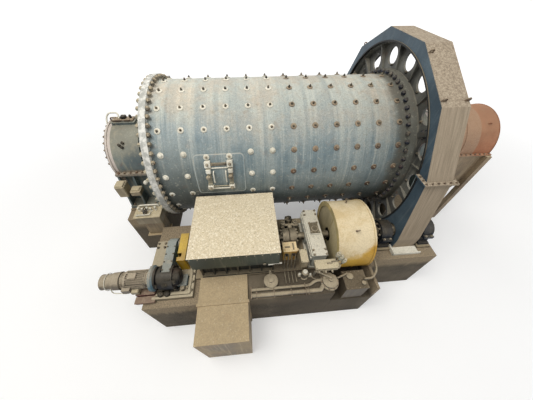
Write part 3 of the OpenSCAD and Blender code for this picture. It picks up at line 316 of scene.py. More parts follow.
def shell_paint():
    """Blue-grey drum: dust bands round it, cream dust high up, brown soil at the gear end, and
    painted shade that darkens it towards the bottom and on the feed end's lower half.
    """
    n = start_material("shell_paint_look")
    drum = n.group(DRUM, Point=n.point)
    place, height = drum["Place"], drum["Height"]
    x, arc, radius = n.split(place)

    def bands(along, around, shift, detail):
        return n.noise(n.join(n.times(x, along), n.times(arc, around), shift), 1.0, detail, 0.62)

    broad, narrow, hair = (bands(*band) for band in (
        (2.6, 0.16, 2.0, 4.0), (8.0, 0.22, 7.0, 4.0), (42.0, 0.9, 0.0, 3.0)))
    cloud = n.noise(place, 1.5, 5.0, 0.65)
    mottle = n.noise(place, 9.0, 5.0, 0.7)
    paint = n.coat((104, 122, 128), (134, 146, 147), cloud, 0.36, 0.64)
    paint = n.coat(paint, (146, 156, 154), broad, 0.42, 0.6, 0.6)
    paint = n.coat(paint, (178, 184, 178), narrow, 0.54, 0.64, 0.5)
    paint = n.coat(paint, (92, 108, 114), narrow, 0.44, 0.36, 0.35)
    paint = n.coat(paint, (180, 182, 172), hair, 0.52, 0.68, 0.3)
    # Painted shade: towards the feed end the lower half's level drops, so less dust and more of
    # the dark coat show there.
    shade = n.times(n.ease(x, -0.9, -2.4, 0.0, 0.5), n.ease(height, 0.95, 0.6))
    lit = n.math("SUBTRACT", height, shade)
    level = lit
    for wave, reach in ((broad, 0.7), (narrow, 0.6), (mottle, 0.6)):
        level = n.plus(level, n.swing(wave, reach))
    powder = n.coat((202, 204, 192), (198, 188, 170), cloud, 0.42, 0.62)
    powder = n.coat(powder, (158, 148, 128), mottle, 0.5, 0.66, 0.5)
    powder = n.coat(powder, (220, 206, 184), level, 0.98, 1.25, 0.65)
    soil = n.ease(level, 0.3, 1.2, 0.0, 0.9)
    colour = n.mix(soil, paint, powder)
    # Painted shade: the paint darkens towards the bottom of the drum.
    colour = n.coat(colour, (56, 60, 54), n.plus(lit, n.swing(cloud, 0.5)), 0.3, -0.5, 0.75)
    colour = n.coat(colour, (92, 88, 76), n.plus(x, n.swing(cloud, 0.5)), 2.4, 2.62, 0.8)
    colour = n.coat(colour, (84, 84, 76), n.wear["Grain"], 0.4, 0.64, 0.3)
    colour = n.coat(colour, (226, 218, 198), n.wear["Pit"], 0.0, 1.0, 0.16)
    colour = n.mix(n.times(n.wear["Rust"], 0.14), colour, (136, 100, 74))
    rim = n.times(n.ease(radius, 1.72, 1.74), n.ease(x, -2.6, -2.7, 0.0, 0.95))
    colour = n.mix(rim, colour, n.coat((164, 164, 157), (216, 214, 206), mottle, 0.4, 0.6))
    relief = n.plus(n.noise(place, 2.4, 2.0), n.times(mottle, 0.12))
    return n.finish(colour, n.ease(soil, 0.0, 1.0, 0.5, 0.85),
                    n.plus(relief, n.times(n.wear["Grain"], 0.06)), 0.35, 0.02)


def guard_paint():
    """Slate-blue side plates, and rim panels that are beige with dust on every side."""
    n = start_material("guard_paint_look")
    grain, up = n.wear["Grain"], n.wear["Up"]
    across = n.math("ABSOLUTE", n.split(n.normal)[0])
    x, y, z = n.split(n.point)
    brush = n.stretched((18.0, 18.0, 0.8), (x, y, z), (5.0, 0.6))
    turn = n.in_mill(n.point)
    arc = n.times(n.math("ARCTAN2", turn[2], turn[1]), 2.2)
    comb = n.stretched((46.0, 1.6, 0.0), (x, arc, z), (6.0, 0.68))
    fleck = n.noise(n.point, 26.0, 8.0, 0.8)
    plate = n.coat((50, 66, 78), (78, 96, 108), n.wear["Blotch"], 0.3, 0.7)
    plate = n.coat(plate, (118, 126, 126), brush, 0.5, 0.75, 0.3)
    plate = n.coat(plate, (46, 52, 54), grain, 0.4, 0.66, 0.35)
    rim = n.coat((140, 126, 106), (166, 151, 130), comb, 0.36, 0.66)
    rough_dust = n.ease(n.plus(up, n.times(fleck, 0.3)), 0.74, 0.96)
    rim = n.mix(n.times(rough_dust, 0.85), rim,
                n.coat((130, 115, 97), (190, 175, 152), fleck, 0.38, 0.62))
    rim = n.coat(rim, (112, 100, 84), grain, 0.4, 0.65, 0.14)
    low = n.ease(n.plus(up, n.times(comb, 0.5)), -0.3, 0.4)
    rim = n.mix(low, n.coat((96, 92, 80), (140, 130, 110), comb, 0.4, 0.7), rim)
    side = n.ease(across, 0.5, 0.8)
    return n.finish(n.mix(side, rim, plate), n.ease(side, 0.0, 1.0, 0.9, 0.5),
                    n.plus(grain, fleck), 0.3, 0.004)


def hood_rust():
    """Rust-orange sheet: warm blotches, pale beige towards the bearing, darker marks."""
    n = start_material("hood_rust_look")
    wear = n.wear
    colour = n.coat((138, 88, 60), (172, 116, 84), wear["Blotch"], 0.3, 0.7)
    colour = n.coat(colour, (160, 138, 114), n.in_mill(n.point)[0], 5.44, 5.4, 0.75)
    colour = n.mix(n.times(wear["Streak"], 0.4), colour, (146, 112, 84))
    colour = n.coat(colour, (126, 88, 66), wear["Grain"], 0.38, 0.66, 0.45)
    colour = n.mix(n.times(wear["Dust"], 0.3), colour, (200, 164, 132))
    return n.finish(colour, n.ease(wear["Dust"], 0.0, 1.0, 0.7, 0.92), wear["Grain"], 0.3, 0.004)


def yellow_drum():
    """Clutch guard: clean orange-yellow below a slanted dust line, dusty cream above it, with
    painted shade that darkens the dust lower down.
    """
    n = start_material("yellow_drum_look")
    grain = n.wear["Grain"]
    z = n.split(n.vector("SUBTRACT", n.point, tuple(P)))[2]
    across = n.math("ABSOLUTE", n.split(n.normal)[0])
    patch = n.noise(n.point, 2.2, 4.0, 0.6)
    clean = n.coat((186, 140, 42), (212, 172, 70), n.wear["Blotch"], 0.3, 0.7)
    clean = n.coat(clean, (150, 108, 40), grain, 0.4, 0.66, 0.4)
    along = n.math("SUBTRACT", n.split(n.point)[0], float(M[0]) + 1.43)
    slant = n.plus(n.math("MULTIPLY_ADD", along, -0.75, z), n.swing(patch, 0.8))
    soil = n.ease(slant, 0.08, 0.32, 0.0, 0.94)
    powder = n.coat((210, 188, 146), (228, 212, 178), patch, 0.36, 0.6)
    # Painted shade: the dust darkens towards the bottom of the drum.
    powder = n.coat(powder, (166, 146, 104), n.plus(z, n.times(patch, 0.4)), 0.2, -0.2, 0.75)
    powder = n.coat(powder, (160, 142, 100), grain, 0.4, 0.66, 0.3)
    rim = n.coat((150, 138, 96), (196, 172, 104), patch, 0.4, 0.6)
    return n.finish(n.coat(n.mix(soil, clean, powder), rim, across, 0.5, 0.8, 0.8),
                    n.ease(soil, 0.0, 1.0, 0.45, 0.9), grain, 0.25, 0.003)


def front_shade(n, most):
    """The front shade group's mask of painted shade, with its own strength."""
    return n.group(FRONT_SHADE, Point=n.point, Blotch=n.wear["Blotch"], Grain=n.wear["Grain"],
                   Most=most)["Stain"]


def pier_concrete():
    """Dusty concrete, darkened as painted shade, with stains, pits, run marks, thick dust on top
    at the ends and painted shade along the front.
    """
    n = start_material("pier_concrete_look", roughness=0.93)
    grain, dark = n.wear["Grain"], (60, 54, 45)
    pits = n.ease(n.cells(n.point, 18.0), 0.12, 0.04)
    colour = n.coat(dark, (100, 90, 75), n.wear["Blotch"], 0.3, 0.7)
    colour = n.mix(n.times(n.wear["Streak"], 0.5), colour, dark)
    colour = n.coat(colour, (112, 104, 90), grain, 0.36, 0.66, 0.5)
    colour = n.mix(n.times(pits, 0.5), colour, (70, 64, 56))
    x, y, z = n.in_mill(n.point)
    level = n.plus(z, n.swing(n.wear["Streak"], 0.12))
    # Painted shade: between the ends the thick dust is thinner, so the pier top under the drive
    # shows darker.
    ends = n.math("MAXIMUM", n.ease(x, 1.5, 2.1), n.ease(x, -1.7, -2.1))
    thick = n.times(n.ease(level, -1.78, -1.52, 0.0, 0.75), n.ease(ends, 0.0, 1.0, 0.25, 1.0))
    colour = n.mix(thick, colour, n.coat((176, 158, 130), (130, 115, 92), grain, 0.38, 0.62))
    # Painted shade along the drive's front, between the motor and the clutch.
    colour = n.mix(front_shade(n, 0.6), colour, (62, 54, 43))
    return n.finish(colour, None, n.math("SUBTRACT", grain, pits), 0.5, 0.006)


def plain_rubber(name, colour):
    """Dark rubber or cable sheath with a little dust on top."""
    n = start_material(name, roughness=0.6)
    return n.finish(n.mix(n.times(n.wear["Dust"], 0.35), colour, DUST), None, n.wear["Grain"],
                    0.2, 0.002)


def cap_zones(n):
    """Bearing housings: pinkish dust on the outer ring, rust along the cap's lower edge."""
    x, y, z = n.in_mill(n.point)
    radius = n.vector("LENGTH", n.join(0.0, y, z))
    ring_zone = n.times(n.ease(n.math("ABSOLUTE", x), 4.03, 4.05),
                        n.times(n.ease(radius, 0.815, 0.825), n.ease(radius, 0.9, 0.88)))
    edge = n.plus(z, n.math("MULTIPLY_ADD", n.wear["Pit"], 0.05, -0.02))
    low = n.times(n.ease(edge, -0.02, -0.07), n.ease(z, -0.16, -0.13))
    return ((n.times(ring_zone, n.ease(n.wear["Blotch"], 0.3, 0.65, 0.6, 0.95)), (206, 194, 184)),
            (n.times(low, n.ease(n.wear["Grain"], 0.3, 0.6, 0.35, 0.9)), (150, 136, 118)))


def hood_specks(n):
    """Motor hood: pale and brown specks in the dust on its flat top."""
    fine = n.noise(n.point, 30.0, 6.0, 0.75)
    flat = n.ease(n.wear["Up"], 0.7, 0.95)
    return ((n.times(flat, n.ease(fine, 0.52, 0.62, 0.0, 0.75)), (238, 230, 210)),
            (n.times(flat, n.ease(fine, 0.44, 0.36, 0.0, 0.6)), (182, 162, 126)))


def base_zones(n):
    """Steel bases: the inching drive's plate and rails lie under thick pale dust, and painted
    shade darkens the front between the motor and the clutch.
    """
    x, y, z = n.in_mill(n.point)
    rails = n.times(n.ease(x, -2.08, -2.1), n.ease(n.wear["Up"], 0.3, 0.7, 0.25, 0.85))
    return ((n.times(rails, n.ease(n.wear["Grain"], 0.3, 0.6, 0.6, 1.0)), (186, 174, 148)),
            (front_shade(n, 0.75), (70, 60, 48)))


PAINTS = {
    "clamp_metal": dict(base=(176, 176, 158), dark=(120, 116, 100), dust=0.6, rust=0.5),
    "gear_metal": dict(base=(114, 114, 107), dark=(56, 56, 53), dust=0.5, rust=0.25,
                       streaks=0.25, rough=0.45, dust_colour=(158, 154, 140)),
    "pinion_metal": dict(base=(98, 94, 84), dark=(48, 44, 40), dust=0.4, rust=0.4,
                         metallic=0.6, rough=0.4),
    "clutch_metal": dict(base=(112, 102, 84), dark=(64, 58, 50), dust=0.5, side_dust=0.3),
    "bearing_paint": dict(base=(26, 36, 48), dark=(12, 15, 20), dust=0.1, rust=0.12,
                          streaks=0.06, specks=0.1, rough=0.4, specular=0.15),
    "housing_paint": dict(base=(120, 130, 126), dark=(78, 90, 92), dust=0.45, streaks=0.35,
                          rust=0.3, dust_colour=(170, 162, 138), zone=cap_zones),
    "chute_paint": dict(base=(126, 100, 74), dark=(78, 60, 44), rust=0.6, side_dust=0.35),
    "steel_base": dict(base=(98, 90, 75), dark=(56, 50, 41), dust=0.7, rust=0.35,
                       side_dust=0.25, dust_colour=(168, 152, 122), zone=base_zones),
    "motor_dark": dict(base=(42, 46, 42), dark=(22, 24, 22), dust=0.5,
                       dust_colour=(140, 126, 100)),
    "motor_paint": dict(base=(66, 72, 58), dark=(44, 50, 42), dust=1.0, specks=0.7,
                        streaks=0.1, rust=0.06, dust_colour=(214, 200, 170),
                        zone=hood_specks),
    "pale_grey": dict(base=(216, 214, 198), dark=(160, 162, 152), dust=0.75, specks=0.8,
                      streaks=0.2, rust=0.2, dust_colour=(228, 220, 200)),
    "orange_paint": dict(base=(244, 200, 110), dark=(206, 156, 76), dust=0.7, rust=0.3,
                         dust_colour=(252, 234, 192)),
    "beige_box": dict(base=(172, 160, 132), dark=(132, 120, 96), dust=0.8,
                      dust_colour=(206, 192, 160)),
    "inching_metal": dict(base=(124, 110, 92), dark=(56, 49, 41), dust=0.65, rust=0.3,
                          side_dust=0.3, dust_colour=(196, 182, 158)),
    "light_blue": dict(base=(112, 140, 150), dark=(76, 104, 116), dust=0.4, rust=0.2),
    "bright_yellow": dict(base=(226, 186, 24), dark=(170, 132, 16), dust=0.25, rust=0.15),
    "duct_paint": dict(base=(138, 118, 86), dark=(84, 72, 56), dust=0.8, specks=0.3,
                       streaks=0.5, rust=0.7, side_dust=0.4, dust_colour=(192, 171, 135)),
    "dark_bolt": dict(base=(54, 54, 52), dark=(28, 28, 28), dust=0.4, rust=0.4, metallic=0.4),
    "blue_bolt": dict(base=(40, 46, 62), dark=(20, 24, 34), dust=0.15, rust=0.2),
    "pale_bolt": dict(base=(236, 234, 222), dark=(186, 182, 166), dust=0.6, rust=0.1,
                      dust_colour=(236, 230, 212)),
    "rusty_bolt": dict(base=(122, 100, 82), dark=(72, 56, 46), dust=0.4, rust=0.6),
    "maroon_paint": dict(base=(112, 44, 44), dark=(76, 28, 30), dust=0.35, rust=0.2),
    "grey_fitting": dict(base=(150, 144, 128), dark=(92, 86, 76), dust=0.6, rust=0.4,
                         metallic=0.2),
    "black_paint": dict(base=(24, 26, 27), dark=(10, 11, 12), dust=0.08, rust=0.05,
                        specular=0.15),
    "bead_paint": dict(base=(182, 190, 187), dark=(148, 158, 158), dust=0.3),
    "mesh_plate": dict(base=(190, 176, 136), dark=(140, 128, 98), dust=0.3, side_dust=0.4,
                       dust_colour=(206, 192, 152)),
}
LOOKS = {name: painted(name + "_look", **paint) for name, paint in PAINTS.items()}
LOOKS |= {
    "shell_paint": shell_paint(),
    "guard_paint": guard_paint(),
    "hood_paint": hood_rust(),
    "yellow_guard": yellow_drum(),
    "pier_concrete": pier_concrete(),
    "seal_rubber": plain_rubber("seal_rubber_look", (18, 18, 18)),
    "cable_sheath": plain_rubber("cable_sheath_look", (92, 86, 74)),
}

slot_of = {item["node"]: item["material_slot"] for item in frame["record"]["subparts"]}
for node_name, node_object in frame["nodes"].items():
    node_object.data.materials.clear()
    node_object.data.materials.append(LOOKS[slot_of[node_name]])

# ---------------------------------------------------------------- mesh helpers


def at(x, y, z):
    """A point in mill coordinates, as a point of the frame."""
    return M + np.array([x, y, z])


def even(count, first=0.0):
    """Angles in degrees, evenly round a full circle from the first one."""
    return first + 360 / count * np.arange(count)


def ring(angles, radius, x, y=0.0, z=0.0):
    """Points on a circle across the mill: (x, y - r cos a, z + r sin a), a in degrees."""
    a = np.radians(angles)
    return M + np.stack([np.full(len(a), x), y - radius * np.cos(a), z + radius * np.sin(a)], 1)


def on_drum(x, angle, radius):
    """A point at x and at an angle above the drive side, and the way out from the axis."""
    spot = ring([angle], radius, x)[0]
    return spot, (spot - at(x, 0, 0)) / radius


def add_mesh(name, verts, faces, look, body, smooth):
    """A mesh object from an (n, 3) array and a list of faces, riding on a body."""
    mesh = bpy.data.meshes.new(name)
    mesh.from_pydata(np.asarray(verts, float).tolist(), [], faces)
    mesh.update()
    if smooth:
        mesh.polygons.foreach_set("use_smooth", np.ones(len(mesh.polygons), bool))
        mesh.set_sharp_from_angle(angle=math.radians(40))
    mesh.materials.append(LOOKS[look])
    item = bpy.data.objects.new(name, mesh)
    bpy.context.scene.collection.objects.link(item)
    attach(item, body)


def merge(parts):
    """Joins (verts, faces) pairs into one pair."""
    verts, faces, count = [], [], 0
    for part_verts, part_faces in parts:
        verts.append(part_verts)
        faces += [[v + count for v in face] for face in part_faces]
        count += len(part_verts)
    return np.concatenate(verts), faces


def piece(name, look, parts, body="plant", smooth=True):
    """One mesh object from a list of parts."""
    add_mesh(name, *merge(parts), look, body, smooth)


def skin(rows, sides, closed=False):
    """Quads between neighbouring rings of points; an open skin also gets its two caps."""
    i, j = np.meshgrid(np.arange(rows if closed else rows - 1), np.arange(sides), indexing="ij")
    k, up = (j + 1) % sides, (i + 1) % rows
    faces = np.stack([i * sides + j, i * sides + k, up * sides + k, up * sides + j], 2)
    faces = faces.reshape(-1, 4).tolist()
    if closed:
        return faces
    return faces + [list(range(sides))[::-1], list(range((rows - 1) * sides, rows * sides))]


def lathe(profile, sides):
    """Closed solid of revolution about z: point = (r cos t, r sin t, h), ends capped.

    The profile lists r, h, r, h ... from the low cap to the high cap; faces point outwards.
    """
    r, h = np.array(profile, float).reshape(-1, 2).T
    t = TAU * np.arange(sides) / sides
    verts = np.stack([np.outer(r, np.cos(t)), np.outer(r, np.sin(t)),
                      np.repeat(h[:, None], sides, 1)], 2).reshape(-1, 3)
    return verts, skin(len(r), sides)


def frames_for(directions):
    """Rotation matrices (n, 3, 3) that turn local z to each direction."""
    d = np.asarray(directions, float)
    d = d / np.linalg.norm(d, axis=1)[:, None]
    ref = np.where(np.abs(d[:, :1]) > 0.9, [[0.0, 0.0, 1.0]], [[1.0, 0.0, 0.0]])
    u = np.cross(ref, d)
    u /= np.linalg.norm(u, axis=1)[:, None]
    return np.stack([u, np.cross(d, u), d], 2)


def turned(part, spot, way=None):
    """A part drawn along z, moved to a spot of the frame and turned to a way."""
    verts, faces = part
    return (verts if way is None else verts @ frames_for([way])[0].T) + spot, faces


def knob(sides, place, way, *profile):
    """Turned part on a place of the mill; the profile is a flat row of r, h, r, h ..."""
    return turned(lathe(profile, sides), at(*place), way)


def plain(radius, *heights):
    """Profile of a straight bar with the two heights given, for lathe."""
    return [(radius, height) for height in heights]


def stamp(name, proto, places, ways, look, body="plant", spin=False):
    """Copies one small solid to every place: point = place + F(way) S(spin) p."""
    verts, faces = proto
    count = len(places)
    turns = frames_for(np.broadcast_to(ways, (count, 3)))
    if spin:
        angle = RNG.uniform(0, TAU, count)
        c, s, zero = np.cos(angle), np.sin(angle), np.zeros(count)
        turns = turns @ np.stack([c, -s, zero, s, c, zero, zero, zero, zero + 1],
                                 1).reshape(-1, 3, 3)
    points = np.einsum("nij,vj->nvi", turns, verts) + np.asarray(places)[:, None, :]
    all_faces = [[v + len(verts) * i for v in face] for i in range(count) for face in faces]
    add_mesh(name, points.reshape(-1, 3), all_faces, look, body, False)


def nut(across, height, stud, stud_out, washer=0.0, washer_t=0.0):
    """Hexagon nut on a washer with a stud end, along z from the seat."""
    corner, top = across / math.sqrt(3), washer_t + height
    parts = [lathe(plain(washer, 0.0, washer_t), 14)] if washer else []
    parts.append(lathe([(corner, washer_t), (corner, washer_t + height * 0.85),
                        (corner * 0.88, top)], 6))
    parts.append(lathe([(stud, top - 0.002), (stud, top + stud_out * 0.8),
                        (stud * 0.8, top + stud_out)], 8))
    return merge(parts)


def chamfered(low, high, cut):
    """Box from corner low to corner high whose twelve edges are cut off at 45 degrees.

    Each of the 8 corners becomes 3 points: the corner moved in by cut along two of its axes.
    """
    low, high = np.array(low, float), np.array(high, float)
    cut = min(cut, float((high - low).min()) * 0.3)
    sign = np.array([[i, j, k] for i in (0, 1) for j in (0, 1) for k in (0, 1)])
    corner = low + sign * (high - low)
    verts = (corner[:, None] + (cut * (1 - 2 * sign))[:, None] * (1 - np.eye(3))).reshape(-1, 3)
    rings = []
    for axis, u, v in ((0, 1, 2), (1, 0, 2), (2, 0, 1)):
        rings += [[3 * c + axis for c in range(8) if sign[c][axis] == side] for side in (0, 1)]
        rings += [[3 * c + o for c in range(8) if tuple(sign[c][[u, v]]) == ends
                   for o in (u, v)] for ends in ((0, 0), (0, 1), (1, 0), (1, 1))]
    rings += [[3 * c, 3 * c + 1, 3 * c + 2] for c in range(8)]
    faces = []
    for corners in rings:
        points = verts[corners]
        middle = points.mean(0)
        normal = middle - (low + high) / 2
        if len(corners) == 4:
            flat = np.cross(points[1] - points[0], points[2] - points[0])
            normal = flat * np.sign(flat @ normal)
        side = points[0] - middle
        side = side - normal * (side @ normal) / (normal @ normal)
        other = np.cross(normal, side)
        order = np.argsort(np.arctan2((points - middle) @ other / np.linalg.norm(other),
                                      (points - middle) @ side / np.linalg.norm(side)))
        faces.append([corners[k] for k in order])
    return verts, faces


def block(cut, *ends):
    """Chamfered box between two corners, given in mill coordinates as one row."""
    return chamfered(at(*ends[:3]), at(*ends[3:]), cut)


def tube(path, radius, sides=10, rounds=0.0, steps=5):
    """Round bar along a polyline: ring k = path[k] + radius (cos t U + sin t V), closed ends.

    Inner corners are first replaced by arcs of radius rounds, each with the given steps:
    a quadratic blend (1-t)^2 A + 2 t (1-t) C + t^2 B between the two tangent points.
    """
    path = np.array(path, float)
    if rounds:
        pieces = [path[:1]]
        for before, here, after in zip(path[:-2], path[1:-1], path[2:]):
            a, b = before - here, after - here
            la, lb = np.linalg.norm(a), np.linalg.norm(b)
            reach = min(rounds, la * 0.49, lb * 0.49)
            start, end = here + a / la * reach, here + b / lb * reach
            t = np.linspace(0, 1, steps)[:, None]
            pieces.append((1 - t) ** 2 * start + 2 * t * (1 - t) * here + t ** 2 * end)
        path = np.concatenate(pieces + [path[-1:]])
    ahead = np.gradient(path, axis=0)
    ahead /= np.linalg.norm(ahead, axis=1)[:, None]
    u = np.cross(ahead, (0, 0, 1.0) if np.abs(ahead[:, 2]).mean() < 0.7 else (1.0, 0, 0))
    weak = np.linalg.norm(u, axis=1) < 0.05
    u[weak] = u[~weak][0] if (~weak).any() else np.array([0.0, 1.0, 0.0])
    for k in range(1, len(u)):
        if u[k] @ u[k - 1] < 0:
            u[k] = -u[k]
        if abs(u[k] @ u[k - 1]) < 0.5 * np.linalg.norm(u[k]) * np.linalg.norm(u[k - 1]):
            u[k] = u[k - 1] - ahead[k] * (u[k - 1] @ ahead[k])
    u /= np.linalg.norm(u, axis=1)[:, None]
    t = (TAU * np.arange(sides) / sides)[:, None]
    verts = path[:, None] + radius * (np.cos(t) * u[:, None]
                                      + np.sin(t) * np.cross(ahead, u)[:, None])
    return verts.reshape(-1, 3), skin(len(path), sides)


def pipe(radius, sides, rounds, *path):
    """Tube along points given in mill coordinates."""
    return tube(M + np.array(path), radius, sides, rounds)


RNG = np.random.default_rng(7)

# ---------------------------------------------------------------- liner bolts

COLUMNS, ROWS, FIRST_ROW = 12, 22, 13.5
LINER_NUT = nut(0.046, 0.034, 0.015, 0.022)
LINER_WASHER = lathe((0.06, 0, 0.066, 0.006, 0.062, 0.014, 0.046, 0.02), 20)
NUT_LIFT = 0.017
column, row_angle = np.meshgrid(np.arange(COLUMNS), even(ROWS, FIRST_ROW), indexing="ij")
row_rad = np.radians(row_angle)
bolt_x = (column - (COLUMNS - 1) / 2) * 0.2754 * SHELL_R
pad_low, pad_high = box("manhole_pad")
keep = ~((bolt_x > pad_low[0]) & (bolt_x < pad_high[0]) & ((row_angle < 31) | (row_angle > 355)))
outward = np.stack([0 * row_rad, -np.cos(row_rad), np.sin(row_rad)], 2)
seat = M + outward * SHELL_R + np.stack([bolt_x, 0 * bolt_x, 0 * bolt_x], 2)
DUSTED_NUT = lathe((0.042, 0, 0.042, 0.018, 0.034, 0.032, 0.018, 0.04), 12)
low_rows, near_feed = row_angle < 30, column < 6
for bolt_name, bolt_look, proto, lift, chosen in (
        ("liner_washers_pale", "pale_bolt", LINER_WASHER, 0.0, near_feed),
        ("liner_washers_rusty", "rusty_bolt", LINER_WASHER, 0.0, ~near_feed),
        ("liner_nuts_dark", "dark_bolt", LINER_NUT, NUT_LIFT, ~low_rows),
        ("liner_nuts_pale", "pale_bolt", DUSTED_NUT, NUT_LIFT, low_rows & near_feed),
        ("liner_nuts_rusty", "rusty_bolt", LINER_NUT, NUT_LIFT, low_rows & ~near_feed)):
    chosen = chosen & keep
    stamp(bolt_name, proto, seat[chosen] + outward[chosen] * lift, outward[chosen], bolt_look,
          "mill", spin=True)

# ---------------------------------------------------------------- flange and gear bolts

FLANGE_BOLTS, BOLT_R = 60, SHELL_R + 0.068
SMALL_NUT = nut(0.05, 0.03, 0.016, 0.014, 0.032, 0.005)
PLATE_NUT = nut(0.036, 0.022, 0.011, 0.012, 0.024, 0.004)
for ring_name, x, way, bolt_look in (
        ("feed_flange_nuts_inner", -SHELL_HALF + FLANGE_T, 1, "grey_fitting"),
        ("feed_flange_nuts_outer", -SHELL_HALF - FLANGE_T, -1, "clamp_metal"),
        ("discharge_flange_nuts_inner", SHELL_HALF - FLANGE_T, -1, "blue_bolt"),
        ("gear_hub_nuts", box("discharge_head")[0][0] + FLANGE_T + 0.06, 1, "blue_bolt")):
    stamp(ring_name, nut(0.085, 0.046, 0.027, 0.018, 0.052, 0.006),
          ring(even(FLANGE_BOLTS, 1.5), BOLT_R, x), (way, 0, 0), bolt_look, "mill", spin=True)

GEAR_MID = sum(box("girth_gear"))[0] / 2
RIBS, JOINT_ANGLE = 18, 36.0
stamp("gear_web_bolts", SMALL_NUT, ring(even(RIBS, JOINT_ANGLE + 8.0), 1.895, GEAR_MID - 0.025),
      (-1, 0, 0), "dark_bolt", "mill")
joint_bolts = []
for joint in (JOINT_ANGLE, JOINT_ANGLE + 180.0):
    for side in (-1, 1):
        for radius, half in ((1.96, 0.04), (2.1, 0.065), (2.24, 0.085)):
            for shift in (-half, half):
                spot, out = on_drum(GEAR_MID + shift, joint, radius)
                way = np.cross([1.0, 0.0, 0.0], out) * side
                joint_bolts.append((spot + way * 0.055, way))
stamp("gear_joint_bolts", SMALL_NUT, *zip(*joint_bolts), "blue_bolt", "mill")

# ---------------------------------------------------------------- manhole fittings

MANHOLE_X, MANHOLE_ANGLE = -1.394, 13.2
PAD_FACE = SHELL_R + 0.0253
CLAMP_FACE = PAD_FACE + 0.0863
CLAMP_X0, CLAMP_X1 = MANHOLE_X - 0.234, MANHOLE_X + 0.234


def pad_path(half_w, half_h, corner, radius):
    """Rounded rectangle wrapped on the drum: (u, v) -> x = u, angle = asin(v / radius)."""
    a = np.radians(np.linspace(0, 90, 8) + np.array([[0], [90], [180], [270]])).ravel()
    u = np.repeat([1, -1, -1, 1], 8) * (half_w - corner) + corner * np.cos(a)
    v = np.repeat([1, 1, -1, -1], 8) * (half_h - corner) + corner * np.sin(a)
    u, v = np.append(u, u[0]), np.append(v, v[0])
    dense = np.linspace(0, len(u) - 1, 4 * len(u))
    u, v = (np.interp(dense, np.arange(len(line)), line) for line in (u, v))
    angle = math.radians(MANHOLE_ANGLE) + np.arcsin(v / radius)
    return M + np.stack([MANHOLE_X + u, -radius * np.cos(angle), radius * np.sin(angle)], 1)


def drum_block(cut, x0, x1, angle0, angle1, r0, r1):
    """Chamfered block wrapped on the drum: (x, s, r) -> (x, -r cos s, r sin s), s in radians."""
    a0, a1 = math.radians(angle0), math.radians(angle1)
    verts, faces = chamfered((x0, a0 * r1, r0), (x1, a1 * r1, r1), cut)
    s = verts[:, 1] / r1
    return M + np.stack([verts[:, 0], -verts[:, 2] * np.cos(s), verts[:, 2] * np.sin(s)],
                        1), faces


piece("manhole_weld_bead", "bead_paint",
      [tube(pad_path(0.525, 0.462, 0.08, SHELL_R + 0.008), 0.019, 8)], "mill")
clamps = [drum_block(0.012, x - half, x + half, low, high, SHELL_R + 0.02, CLAMP_FACE + 0.035)
          for x in (CLAMP_X0, CLAMP_X1)
          for low, high, half in ((20.6, 25.2, 0.062), (16.6, 19.6, 0.05), (4.3, 7.0, 0.062))]
clamps.append(drum_block(0.008, CLAMP_X0, CLAMP_X1, 19.6, 20.4, SHELL_R + 0.05, SHELL_R + 0.09))
clamps.append(tube([on_drum(x, 3.6, SHELL_R + 0.085)[0]
                    for x in (CLAMP_X0 - 0.06, CLAMP_X1 + 0.06)], 0.017))
piece("clamp_blocks", "pale_bolt", clamps, "mill", smooth=False)
piece("clamp_screws", "grey_fitting",
      [turned(lathe((0.05, 0, 0.05, 0.05, 0.04, 0.062, 0.022, 0.066, 0.022, 0.09), 16),
              *on_drum(x, 13.6, CLAMP_FACE - 0.02)) for x in (-1.645, -1.172)], "mill")
piece("clamp_bar", "dark_bolt", [drum_block(0.008, CLAMP_X0 + 0.05, CLAMP_X1 - 0.05, 21.6, 23.6,
                                            SHELL_R + 0.045, SHELL_R + 0.1)], "mill", False)
stamp("clamp_nuts", nut(0.05, 0.03, 0.016, 0.03, 0.034, 0.006),
      *zip(*[on_drum(x, angle, CLAMP_FACE + 0.034) for x in (CLAMP_X0, CLAMP_X1)
             for angle in (22.9, 5.6)]), "grey_fitting", "mill")
for pad_name, proto, lift, pad_look in (("pad_washers", LINER_WASHER, 0.0, "pale_bolt"),
                                        ("pad_nuts", LINER_NUT, NUT_LIFT, "grey_fitting")):
    stamp(pad_name, proto, *zip(*[on_drum(x, MANHOLE_ANGLE + 14.2, PAD_FACE + lift)
                                  for x in (-1.642, -1.164)]), pad_look, "mill")
piece("cover_handles", "pale_bolt",
      [tube([on_drum(x, MANHOLE_ANGLE + rise, SHELL_R + height)[0] for rise, height in (
          (-4.4, 0.058), (-3.6, 0.125), (3.6, 0.125), (4.4, 0.058))], 0.014, 10, 0.03)
       for x in (-1.525, -1.263)], "mill")

# ---------------------------------------------------------------- gear guard fittings

GUARD_X0 = GEAR_MID - 0.264
GUARD_X1 = GUARD_X0 + 0.546
FLAT_R = 2.566
CORNER_R = FLAT_R / math.cos(math.radians(15))
CORNERS = np.arange(15, 180, 30)
JOINT_Z = 0.688


